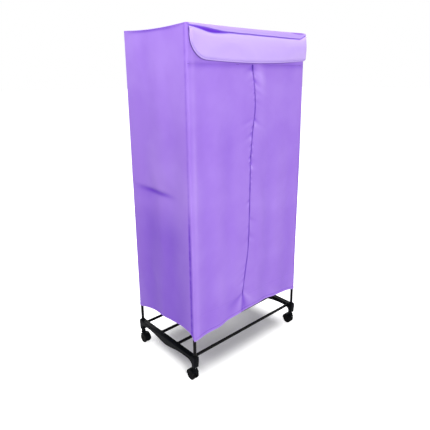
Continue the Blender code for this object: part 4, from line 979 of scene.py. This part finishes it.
def steps_between(start, end, count):
    return [mix(start, end, k / count) for k in range(count + 1)]


def seam_ring(drop, out):
    """The line round the top of the cover, except its front, where the walls meet the top sheet."""
    path = []
    for panel in ("right", "back", "left", "front"):
        run = half_run(panel)
        for s in steps_between(-run, run, 60)[:-1]:
            place, _ = panel_point(panel, s, TOP_Z - STITCH_LINE_END, out)
            path.append(Vector((place.x, place.y, top_z(place.x, place.y) - drop)))
    return [p for p in path if p.y > 0.001 - HALF_Y]


def build_trim():
    """Piping round the top, hem and seam stitches."""
    ring = seam_ring(TOP_SEAM_DROP - PIPING_SUNK, -PIPING_SUNK)[1:-1]
    finish(tube_mesh("top_piping", ring, PIPING_RADIUS), "violet_cloth", "frame")
    ring = seam_ring(TOP_SEAM_DROP + TOP_STITCH_DROP, STITCH_PROUD)
    finish(stitches("top_seam_stitches", ring), "thread", "frame")
    hem = [panel_point(panel, s, hem_z(panel, s) + HEM_FOLD - HEM_STEP, HEM_STITCH_PROUD)[0]
           for panel in ("front", "right", "back", "left")
           for s in steps_between(-half_run(panel), half_run(panel), 120)[:-1]]
    finish(stitches("hem_stitches", hem, closed=True), "thread", "frame")
    for side, sign in SIDES:
        s = -sign * (HALF_Y - STITCH_LINE_INSET)
        heights = steps_between(hem_z(side, s) + 0.004, TOP_Z - STITCH_LINE_END, 160)
        line = [panel_point(side, s, z, STITCH_PROUD)[0] for z in heights]
        finish(stitches(f"corner_stitches_{side}", line), "thread", "frame")


# Zip

def front_y(x, z):
    """Place of the front's outer face."""
    return -HALF_Y - front_push(x, z)[0]


def zip_tape(side, sign):
    def point(u, v):
        z = mix(DOOR_BOTTOM_Z, DOOR_TOP_Z, v)
        x = zip_x(z) + (mix(-TAPE_FAR, -TAPE_NEAR, u) if sign < 0 else mix(TAPE_NEAR, TAPE_FAR, u))
        return Vector((x, front_y(x, z) + CLOTH + TAPE_THICK, z)), 0.4
    return sheet_mesh(f"zip_tape_{side}", 5, 210, point, TAPE_THICK)


def zip_teeth(side, sign):
    """One half of the chain. Its teeth stand between those of the other half."""
    verts, faces = [], []
    for i in range(int((DOOR_TOP_Z - DOOR_BOTTOM_Z) / TOOTH_PITCH)):
        z = DOOR_BOTTOM_Z + TOOTH_PITCH * (i + (0.25 if sign < 0 else 0.75))
        y = front_y(zip_x(z) + sign * 0.002, z) + CLOTH + 0.0004
        start = len(verts)
        for k, half in enumerate(TOOTH_HALVES):
            x = zip_x(z) + sign * mix(-TOOTH_LAP, TOOTH_REACH, k / 2)
            for dy, dz in ((-TOOTH_HEIGHT, -0.5), (-TOOTH_HEIGHT, 0.5), (0.0, 1), (0.0, -1)):
                verts.append((x, y + dy, z + dz * half))
        faces += ring_faces(len(TOOTH_HALVES), 4, start=start)
    return mesh_object(f"zip_teeth_{side}", verts, faces)


def build_zip():
    """Tape and coil teeth behind the meeting edges of the front, half on each door."""
    for side, sign in SIDES:
        tape = zip_tape(side, sign)
        teeth = zip_teeth(side, sign)
        finish(tape, "violet_zip", f"door_{side}", (f"zip_chain_{side}",))
        finish(teeth, "violet_zip", f"door_{side}")
        row = []
        for z in steps_between(DOOR_BOTTOM_Z, DOOR_TOP_Z, 200):
            x = zip_x(z) + sign * ZIP_STITCH_OFF
            row.append(Vector((x, front_y(x, z) - STITCH_PROUD, z)))
        finish(stitches(f"zip_stitches_{side}", row), "thread", f"door_{side}")


# Flap

def flap_x(u):
    """Share along the flap and place. Columns lie closer at its rounded left end."""
    share = u ** 1.25
    return share, mix(FLAP_LEFT_X, FLAP_RIGHT_X, share)


def flap_crease_z(x):
    """Height of the crease under the flap's top strip. It drops towards the right and ends at the corner."""
    share = clamp((x - FLAP_LEFT_X) / (FLAP_RIGHT_X - FLAP_LEFT_X))
    drop = 0.0015 + 0.0130 * smooth(share, 0.0, 0.30) + 0.006 * share
    drop *= 1 - 0.8 * smooth(share, 0.925, 1.0)
    return FLAP_HINGE_Z - drop + 0.0010 * ripple(x / 0.05, 51.0) * smooth(share, 0.05, 0.3)


def corner_rise(radius, inset):
    """How far a rounded corner lies above the straight edge, at a distance from its end."""
    return radius - math.sqrt(max(radius ** 2 - max(radius - inset, 0) ** 2, 0))


def flap_bottom_z(x):
    half = (FLAP_RIGHT_X - FLAP_LEFT_X) / 2
    low = FLAP_BOTTOM_Z + FLAP_LIFT + FLAP_SAG * ((x - FLAP_LEFT_X) / half - 1) ** 2
    low += corner_rise(FLAP_LEFT_CORNER, x - FLAP_LEFT_X)
    return low + corner_rise(FLAP_RIGHT_CORNER, FLAP_RIGHT_X - x)


def flap_point(u, v, lift=0.0):
    """A point of the flap, and its colour share: painted shade in its crease and along its hem, darker over
    the strip by the hinge, a painted highlight below the crease, and random clouds. v runs up from the free
    edge.
    """
    share, x = flap_x(u)
    down = 1 - v
    crease, low = flap_crease_z(x), flap_bottom_z(x)
    top = top_z(clamp(x, -HALF_X, HALF_X), -HALF_Y) - TOP_SEAM_DROP + 0.0004
    stand = FLAP_STANDOFF + FLAP_FLARE * share ** 3
    left_dip = bell(share - 0.15, 0.10)
    strip = mix(0.0035, 0.0065, smooth(share, 0.0, 0.2))
    valley = mix(0.0004, 0.0022, smooth(share, 0.1, 0.9))
    # From the hinge over the strip's roll, into the crease and out over the flap's face
    knots = ((0.0, 0.0005, top), (0.07, strip * 0.75, mix(top, crease, 0.45)), (0.13, strip, crease + 0.0012),
             (0.17, valley + 0.0012, crease - 0.0004), (0.21, valley, crease - 0.0028 - 0.0085 * left_dip),
             (0.30, stand * 0.78, crease - 0.010 - 0.0105 * left_dip), (0.42, stand, mix(crease, low, 0.30)),
             (1.0, stand, low))
    out = read_shares([(k, knot_out) for k, knot_out, _ in knots], down)
    z = read_shares([(k, knot_z) for k, _, knot_z in knots], down)
    face = smooth(down, 0.25, 0.5)
    out += face * (waves(FLAP_WAVES, x, z) + FLAP_BELLY * math.sin(math.pi * clamp((down - 0.3) / 0.7)))
    border = min(z - low, (x - FLAP_LEFT_X) * 1.3, (FLAP_RIGHT_X - x) * 1.3) if down > 0.3 else 1
    # Its free edge turns in towards the front, and its hem is a little thicker
    out = max(out, 0.0) * mix(0.35, 1, smooth(border, -0.004, 0.014))
    out += FLAP_HEM_SWELL * (1 - smooth(border, FLAP_HEM, FLAP_HEM + HEM_STEP))
    # Painted shade in the crease, deepest in the wedge at its left end
    deep = 0.8 * bell(down - 0.19, 0.034) + 0.5 * left_dip * bell(down - 0.22, 0.045)
    # Painted shade along the inner edge of the hem, and darker over the strip by the hinge
    deep += 0.2 * bell(border - 0.0068, 0.0012) + 0.22 * (1 - smooth(down, 0.08, 0.14))
    # A painted highlight where the face turns out below the crease, and random clouds
    deep -= 0.3 * bell(down - 0.34, 0.06) + waves(FLAP_CLOUDS, x, z) * face
    return Vector((x, -HALF_Y - FLAP_OFF - CLOTH - out - lift, z)), deep


def build_flap():
    flap = sheet_mesh("front_flap_cloth", 170, 90, flap_point)
    finish(flap, "pale_violet_cloth", None, ("front_flap",))
    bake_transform(flap)
    row = []
    for u in steps_between(0, 1, 240):
        x = flap_x(u)[1]
        v = FLAP_HEM / max(FLAP_HINGE_Z - flap_bottom_z(x), 0.02) * 0.86
        if min(x - FLAP_LEFT_X, FLAP_RIGHT_X - x) >= FLAP_HEM:
            row.append(flap_point(u, v, HEM_STITCH_PROUD)[0])
    thread = finish(stitches("flap_stitches", row), "thread", "flap")


# Frame

HALF_TURN = Matrix.Rotation(math.pi, 4, "Z")
SIDE_VIEW = Matrix(((0, 0, 1, 0), (1, 0, 0, 0), (0, 1, 0, 0), (0, 0, 0, 1)))
ALONG_X = Matrix(((0, 0, 1, 0), (0, 1, 0, 0), (-1, 0, 0, 0), (0, 0, 0, 1)))
FRONT_VIEW = Matrix(((1, 0, 0, 0), (0, 0, -1, 0), (0, 1, 0, 0), (0, 0, 0, 1)))


def smooth_tube(node, turn):
    """A round tube in the place of a faceted one, open at both ends."""
    low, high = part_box(node)
    half, radius = max(high - low) / 2, min(high - low) / 2
    bore = radius - TUBE_WALL
    profile = [(radius, half), (radius, -half), (bore, -half), (bore, half)]
    place = Matrix.Translation(node_middle(node)) @ turn
    tube = lathe(node + "_tube", profile, place, closed=True, soft=TUBE_EDGE)
    finish(tube, "black_tube", "frame", (node,))


def build_tubes():
    for node in BARS + RAILS:
        smooth_tube(node, Matrix.Rotation(math.pi / 2, 4, "Y"))
    for corner in CORNERS:
        for part in ("lower", "upper"):
            smooth_tube(f"{part}_post_{corner}", Matrix())


def arc(centre, radius, first_deg, last_deg, steps):
    turns = [math.radians(deg) for deg in steps_between(first_deg, last_deg, steps)]
    return [(centre[0] + radius * math.cos(turn), centre[1] + radius * math.sin(turn)) for turn in turns]


def rectangle(left, right, low, high):
    return [(left, low), (right, low), (right, high), (left, high)]


def bracket_outline():
    """The foot bracket seen from the side, in Y and Z: legs, arches beside them and the belly."""
    top = BRACKET_HEAD_Z - HEAD_RISE
    arch_z = top - RAIL_DEPTH

    def belly_z(y):
        return arch_z - BELLY_DROP * bell(y, BELLY_HALF)
    outer, inner = POST_Y + LEG_WIDTH / 2, POST_Y - LEG_WIDTH / 2
    foot_out, foot_in = POST_Y + LEG_FOOT_WIDTH / 2, POST_Y - LEG_FOOT_WIDTH / 2
    leg = [(inner - HEAD_RISE, top), (inner, BRACKET_HEAD_Z), (outer, BRACKET_HEAD_Z), (outer, arch_z),
           (foot_out, LEG_BOTTOM_Z), (foot_in, LEG_BOTTOM_Z)]
    half = [tuple(p) for p in soften(leg, LEG_CHAMFER, 4)]
    arch_end = foot_in - ARCH_WIDTH
    drop = belly_z(arch_end) - arch_z + ARCH_DROP
    for y, z in arc((0, 0), 1, 4, 90, 14):
        half.append((arch_end + ARCH_WIDTH * y, arch_z - ARCH_DROP + drop * z))
    half += [(y, belly_z(y)) for y in steps_between(arch_end, 0, 24)[1:]]
    return half + [(-y, z) for y, z in reversed(half[:-1])]


def seat_ring(rise, rim_width, foot_width, soft, place):
    """A raised ring round a tube where it enters the bracket."""
    hole = TUBE_RADIUS + SEAT_GAP
    profile = [(hole, rise), (TUBE_RADIUS + rim_width, rise), (TUBE_RADIUS + foot_width, -SEAT_FOOT),
               (hole, -SEAT_FOOT)]
    return lathe("seat", profile, place, 40, True, soft)


def build_brackets():
    outline = bracket_outline()
    low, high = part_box("foot_bracket_left")
    half = (high.x - low.x) / 2
    for side, sign in SIDES:
        node = f"foot_bracket_{side}"
        body = extrude(node + "_moulding", outline, -half, half, BRACKET_BEVEL, 4, SIDE_VIEW)
        # A shallow channel along the top, and a seat for each bar and post
        channel = rectangle(-CHANNEL_HALF_X, CHANNEL_HALF_X, -CHANNEL_HALF_Y, CHANNEL_HALF_Y)
        floor_z = BRACKET_HEAD_Z - HEAD_RISE - CHANNEL_DEPTH
        parts = [boolean(body, extrude("channel", channel, floor_z, BRACKET_HEAD_Z + CUT_ROOM))]
        for y in (-POST_Y, POST_Y):
            parts.append(seat_ring(*POST_SEAT, Matrix.Translation((0, y, BRACKET_HEAD_Z))))
        for bar in BARS:
            place = Matrix.Translation((half, node_middle(bar).y, BAR_Z))
            parts.append(seat_ring(*BAR_SEAT, place @ ALONG_X))
        made = joined(node + "_moulding", parts)
        turn = HALF_TURN if sign > 0 else Matrix()
        made.data.transform(Matrix.Translation((sign * POST_X, 0, 0)) @ turn)
        finish(made, "black_plastic", "frame", (node,), 30)


# Casters

def wheel(sign):
    """A nylon wheel: a crowned tread with two grooves, and a dished face with a hub."""
    w, r, step = WHEEL_WIDTH, WHEEL_RADIUS, GROOVE_SIZE
    profile = [(0, w - HUB_DEPTH), (0.0045, w - HUB_DEPTH), (0.0055, w - DISH_DEPTH),
               (0.0135, w - DISH_DEPTH), (0.0152, w - 0.0016), (0.0170, w), (r - 0.0024, w),
               (r - 0.0006, w - 0.0012), (r, w - 0.0030)]
    for place in TREAD_GROOVES:
        profile += [(r, w * place + step), (r - step, w * place), (r, w * place - step)]
    profile += [(r, 0.0012), (r - 0.0008, 0), (0.0032, 0), (0, 0)]
    place = Matrix.Translation((sign * WHEEL_OFFSET, 0, 0)) @ (Matrix() if sign > 0 else HALF_TURN)
    return lathe("wheel", profile, place @ ALONG_X, 72, soft=0.0004)


def caster_hood():
    """A fender over both wheels, the web between them and the round neck that the stem turns in."""
    hub = (TRAIL, WHEEL_RADIUS)
    hood_half = WHEEL_OFFSET + WHEEL_WIDTH
    inner = WHEEL_RADIUS + FENDER_GAP
    band = arc(hub, inner + FENDER_WALL, FENDER_FIRST_DEG, FENDER_LAST_DEG, 40)
    band += arc(hub, inner, FENDER_LAST_DEG, FENDER_FIRST_DEG, 40)
    hood = extrude("hood", band, -hood_half, hood_half, 0.0009, 3, SIDE_VIEW)
    neck = [(0, NECK_TOP_Z), (NECK_RADIUS - NECK_EDGE, NECK_TOP_Z), (NECK_RADIUS, NECK_TOP_Z - NECK_EDGE),
            (NECK_RADIUS, NECK_WAIST_Z), (NECK_RADIUS + NECK_FLARE, NECK_FLARE_Z), (NECK_RADIUS, NECK_FOOT_Z),
            (0, NECK_FOOT_Z)]
    neck = lathe("neck", neck, soft=0.0006)
    for turn in (Matrix(), HALF_TURN):
        room = [(0, hood_half + 0.002), (inner, hood_half + 0.002), (inner, WEB_HALF), (0, WEB_HALF)]
        boolean(neck, lathe("room", room, Matrix.Translation((0, *hub)) @ turn @ ALONG_X, 72))
    side = NECK_RADIUS * WEB_NECK_SHARE
    web = arc(hub, WEB_RADIUS, -130, 60, 36) + [(side, WEB_TOP_Z), (-side, WEB_TOP_Z), (-side, WEB_BOTTOM_Z)]
    boolean(hood, neck, "UNION")
    return boolean(hood, extrude("web", web, -WEB_HALF, WEB_HALF, 0.0006, 2, SIDE_VIEW), "UNION")


def caster_stem():
    bottom, top = (end.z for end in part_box("caster_stem_front_left"))
    under = LEG_BOTTOM_Z - SEAT_GAP
    profile = [(0, top), (STEM_TIP_RADIUS, top), (STEM_RADIUS, top - STEM_TIP), (STEM_RADIUS, under),
               (STEM_COLLAR_RADIUS, under), (STEM_COLLAR_RADIUS, under - STEM_COLLAR),
               (STEM_RADIUS, under - STEM_COLLAR), (STEM_RADIUS, bottom), (0, bottom)]
    return lathe("stem", profile, steps=40, soft=0.0003)


def build_casters():
    hood, stem = caster_hood(), caster_stem()
    outer, inner = wheel(1), wheel(-1)
    to_hub = Matrix.Translation((0, TRAIL, WHEEL_RADIUS))
    for corner in CORNERS:
        front = corner.startswith("front")
        x = -POST_X if corner.endswith("left") else POST_X
        place = Matrix.Translation((x, -POST_Y if front else POST_Y, 0)) @ (Matrix() if front else HALF_TURN)
        for source, shift, name, slot, body, node, sharp_deg in (
                (hood, Matrix(), "hood_shell", "black_plastic", f"caster_{corner}", "hood", 32),
                (outer, to_hub, "wheel_outer_tyre", "wheel_plastic", f"wheels_{corner}", "wheel_outer", 32),
                (inner, to_hub, "wheel_inner_tyre", "wheel_plastic", f"wheels_{corner}", "wheel_inner", 32),
                (stem, Matrix(), "pin", "bright_steel", "frame", "stem", 35)):
            made = new_object(f"caster_{name}_{corner}", source.data.copy())
            made.data.transform(place @ shift)
            finish(made, slot, body, (f"caster_{node}_{corner}",), sharp_deg)
    for spare in (hood, stem, outer, inner):
        bpy.data.objects.remove(spare, do_unlink=True)


# Heater

def rounded_rectangle(half_x, half_y, radius, steps=10):
    x, y = half_x - radius, half_y - radius
    outline = []
    for centre, first_deg in (((x, y), 0), ((-x, y), 90), ((-x, -y), 180), ((x, -y), 270)):
        outline += arc(centre, radius, first_deg, first_deg + 90, steps)
    return outline


def shell(name, half_x, half_y, profile, place):
    """A round-cornered open box. The profile gives inset and height, from its inner floor to its outer."""
    verts = []
    for inset, z in profile:
        outline = rounded_rectangle(half_x - inset, half_y - inset, max(HEATER_CORNER - inset, 0.002))
        verts += [(x, y, z) for x, y in outline]
    obj = mesh_object(name, verts, ring_faces(len(profile), len(outline)))
    obj.data.transform(place)
    return obj


def build_heater():
    """Base with intake slots in its front, and a cover with the outlet's hole and the rocker's opening."""
    low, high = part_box("heater_base")
    seam, roof = (end.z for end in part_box("heater_cover"))
    foot, wall = low.z, HEATER_WALL
    half_x, half_y = (high.x - low.x) / 2, (high.y - low.y) / 2
    place = Matrix.Translation((0, node_middle("heater_base").y, 0))
    profile = [(0.007, foot + wall), (0.0040, foot + wall + 0.0015), (wall, foot + 0.006),
               (wall, seam - HEATER_SEAM), (0.0, seam - HEATER_SEAM), (0.0, foot + 0.005),
               (0.0014, foot + 0.0015), (0.005, foot)]
    base = shell("heater_base_shell", half_x, half_y, profile, place)
    middle = (foot + seam) / 2
    slots = []
    for i in range(SLOTS):
        x = SLOT_PITCH * (i - (SLOTS - 1) / 2)
        slot = rectangle(x - SLOT_HALF_X, x + SLOT_HALF_X, middle - SLOT_HALF_Z, middle + SLOT_HALF_Z)
        slots.append(extrude("slot", slot, -0.003 - low.y, 0.005 - low.y, place=FRONT_VIEW))
    finish(boolean(base, joined("slots", slots)), "white_plastic", "frame", ("heater_base",), 30)
    profile = [(0.014, roof - wall), (0.0075, roof - wall - 0.0016), (0.0045, roof - 0.0075),
               (wall, roof - 0.013), (wall, seam + HEATER_SEAM), (0.0, seam + HEATER_SEAM),
               (0.0, roof - 0.012), (0.0018, roof - 0.0055), (0.0060, roof - 0.0014), (0.012, roof)]
    cover = shell("heater_cover_shell", half_x, half_y, profile, place)
    outlet = node_middle("outlet_grille")
    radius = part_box("outlet_grille")[1].x - 0.006
    hole = [(0, roof + CUT_ROOM), (radius, roof + CUT_ROOM), (radius, roof - CUT_ROOM), (0, roof - CUT_ROOM)]
    boolean(cover, lathe("hole", hole, Matrix.Translation((outlet.x, outlet.y, 0)), 72))
    a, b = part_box("power_rocker")
    opening = rectangle(a.x - ROCKER_ROOM, b.x + ROCKER_ROOM, a.z - ROCKER_ROOM, b.z + ROCKER_ROOM)
    boolean(cover, extrude("opening", opening, -CUT_ROOM - low.y, 0.006 - low.y, place=FRONT_VIEW))
    finish(cover, "white_plastic", "frame", ("heater_cover",), 30)


def build_grille():
    """A rim, and rings of wire on spokes. A third of the spokes start in the middle, the rest at a ring."""
    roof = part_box("heater_cover")[1].z
    y = node_middle("heater_base").y
    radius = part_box("outlet_grille")[1].x
    lip = radius - RIM_WIDTH - RIM_LIP
    profile = [(radius, roof + RIM_RISE), (radius, roof + 0.0003), (radius - RIM_WIDTH, roof + 0.0003),
               (radius - RIM_WIDTH, roof - 0.0022), (lip, roof - 0.0022), (lip, roof + RIM_RISE)]
    parts = [lathe("rim", profile, Matrix.Translation((0, y, 0)), 96, True, 0.0008)]
    for k in range(GRILLE_RINGS):
        ring = arc((0, y), GRILLE_RING_STEP * (k + 1), 0, 360, 96)[:-1]
        path = [(*point, roof + GRILLE_RISE) for point in ring]
        parts.append(tube_mesh("ring", path, GRILLE_WIRE, True, 8, 0.003))
    for k in range(GRILLE_SPOKES):
        turn = math.tau * k / GRILLE_SPOKES
        start = GRILLE_RING_STEP if k % 3 else 0.0
        path = [(reach * math.cos(turn), y + reach * math.sin(turn), roof + GRILLE_RISE - SPOKE_DROP)
                for reach in steps_between(start, radius - SPOKE_INSET, 8)]
        parts.append(tube_mesh("spoke", path, GRILLE_WIRE, False, 8, 0.006))
    finish(joined("outlet_grille_rings", parts), "grey_plastic", "frame", ("outlet_grille",), 40)


def dress_cad_pieces():
    """Materials for the pieces that keep their CAD shape."""
    for slot, nodes in (("black_plastic", ("top_bracket_left", "top_bracket_right", "cord_inlet")),
                        ("bright_steel", ("zip_slider", "zip_pull_tab")),
                        ("grey_plastic", ("fan_impeller", "timer_knob")),
                        ("motor_steel", ("fan_motor",)), ("element", ("heating_element",)),
                        ("red_plastic", ("power_rocker",)), ("amber_lens", ("pilot_lens",))):
        for node in nodes:
            NODES[node].data.materials.clear()
            NODES[node].data.materials.append(MATERIALS[slot])


# Studio

def build_stage():
    """White floor. Away from the object the camera sees plain white, and beside it the shadow."""
    corners = rectangle(-FLOOR_HALF, FLOOR_HALF, -FLOOR_HALF, FLOOR_HALF)
    floor = mesh_object("floor", [(x, y, 0) for x, y in corners], [(0, 1, 2, 3)], closed=False)
    mat, tree, shader, place = new_material("studio_floor", 0.9, Specular_IOR_Level=0.05)
    shader.inputs["Base Color"].default_value = linear((240, 240, 240))
    split = add(tree, "ShaderNodeSeparateXYZ", {"Vector": place})
    away = []
    for axis, half in (("X", HALF_X - FLOOR_INSET), ("Y", HALF_Y - FLOOR_INSET)):
        past = math_node(tree, "SUBTRACT", math_node(tree, "ABSOLUTE", split.outputs[axis]), half)
        away.append(math_node(tree, "MAXIMUM", past, 0.0))
    corner = add(tree, "ShaderNodeCombineXYZ", {"X": away[0], "Y": away[1]}).outputs["Vector"]
    length = add(tree, "ShaderNodeVectorMath", {0: corner}, operation="LENGTH").outputs["Value"]
    white = add(tree, "ShaderNodeMapRange", {"Value": length, "From Max": FLOOR_SHADOW_REACH},
                interpolation_type="SMOOTHSTEP").outputs["Result"]
    glow = add(tree, "ShaderNodeEmission", {"Color": (1, 1, 1, 1), "Strength": white}).outputs["Emission"]
    both = add(tree, "ShaderNodeAddShader", {0: shader.outputs["BSDF"], 1: glow}).outputs["Shader"]
    to_camera = add(tree, "ShaderNodeLightPath").outputs["Is Camera Ray"]
    pick = add(tree, "ShaderNodeMixShader", {0: to_camera, 1: shader.outputs["BSDF"], 2: both})
    tree.links.new(pick.outputs["Shader"], tree.nodes["Material Output"].inputs["Surface"])
    floor.data.materials.append(mat)


def build_light():
    """An even white studio with soft lamps near the camera, on the left, behind and overhead."""
    world = bpy.data.worlds.new("studio")
    bpy.context.scene.world = world
    world.use_nodes = True
    tree = world.node_tree
    background = tree.nodes["Background"]
    background.inputs["Color"].default_value = (1, 1, 1, 1)
    path = add(tree, "ShaderNodeLightPath").outputs
    seen = math_node(tree, "MAXIMUM", path["Is Camera Ray"], path["Is Glossy Ray"])
    seen = math_node(tree, "MAXIMUM", seen, path["Is Transmission Ray"])
    tree.links.new(spread(tree, seen, 0.0, 1.0, AMBIENT), background.inputs["Strength"])
    for name, (place, target, size, watts) in LAMPS.items():
        data = bpy.data.lights.new(name, "AREA")
        data.shape = "DISK"
        data.size = size
        data.energy = watts
        lamp = new_object(name, data)
        lamp.location = place
        lamp.rotation_mode = "QUATERNION"
        lamp.rotation_quaternion = (Vector(target) - Vector(place)).to_track_quat("-Z", "Y")


def build_camera():
    heading, pitch = math.radians(HEADING_DEG), math.radians(PITCH_DEG)
    level = Vector((math.sin(heading), math.cos(heading), 0))
    ahead = level * math.cos(pitch) - Vector((0, 0, math.sin(pitch)))
    right = ahead.cross(Vector((0, 0, 1))).normalized()
    turn = Matrix((right, right.cross(ahead), -ahead)).transposed().to_4x4()
    data = bpy.data.cameras.new("photo_camera")
    camera = new_object("photo_camera", data)
    camera.matrix_world = Matrix.Translation(EYE) @ turn @ Matrix.Rotation(math.radians(-ROLL_DEG), 4, "Z")
    data.sensor_width = SENSOR_MM
    data.lens = FOCAL_PX / PHOTO_SIDE_PX * SENSOR_MM
    data.shift_x = (PHOTO_SIDE_PX / 2 - AXIS_PX[0]) / PHOTO_SIDE_PX
    data.shift_y = (AXIS_PX[1] - PHOTO_SIDE_PX / 2) / PHOTO_SIDE_PX
    bpy.context.scene.camera = camera


build_camera()
build_walls()
build_top()
build_doors()
build_trim()
build_zip()
build_flap()
build_tubes()
build_brackets()
build_casters()
build_heater()
build_grille()
dress_cad_pieces()
build_stage()
build_light()
bpy.context.scene.view_settings.view_transform = "Standard"
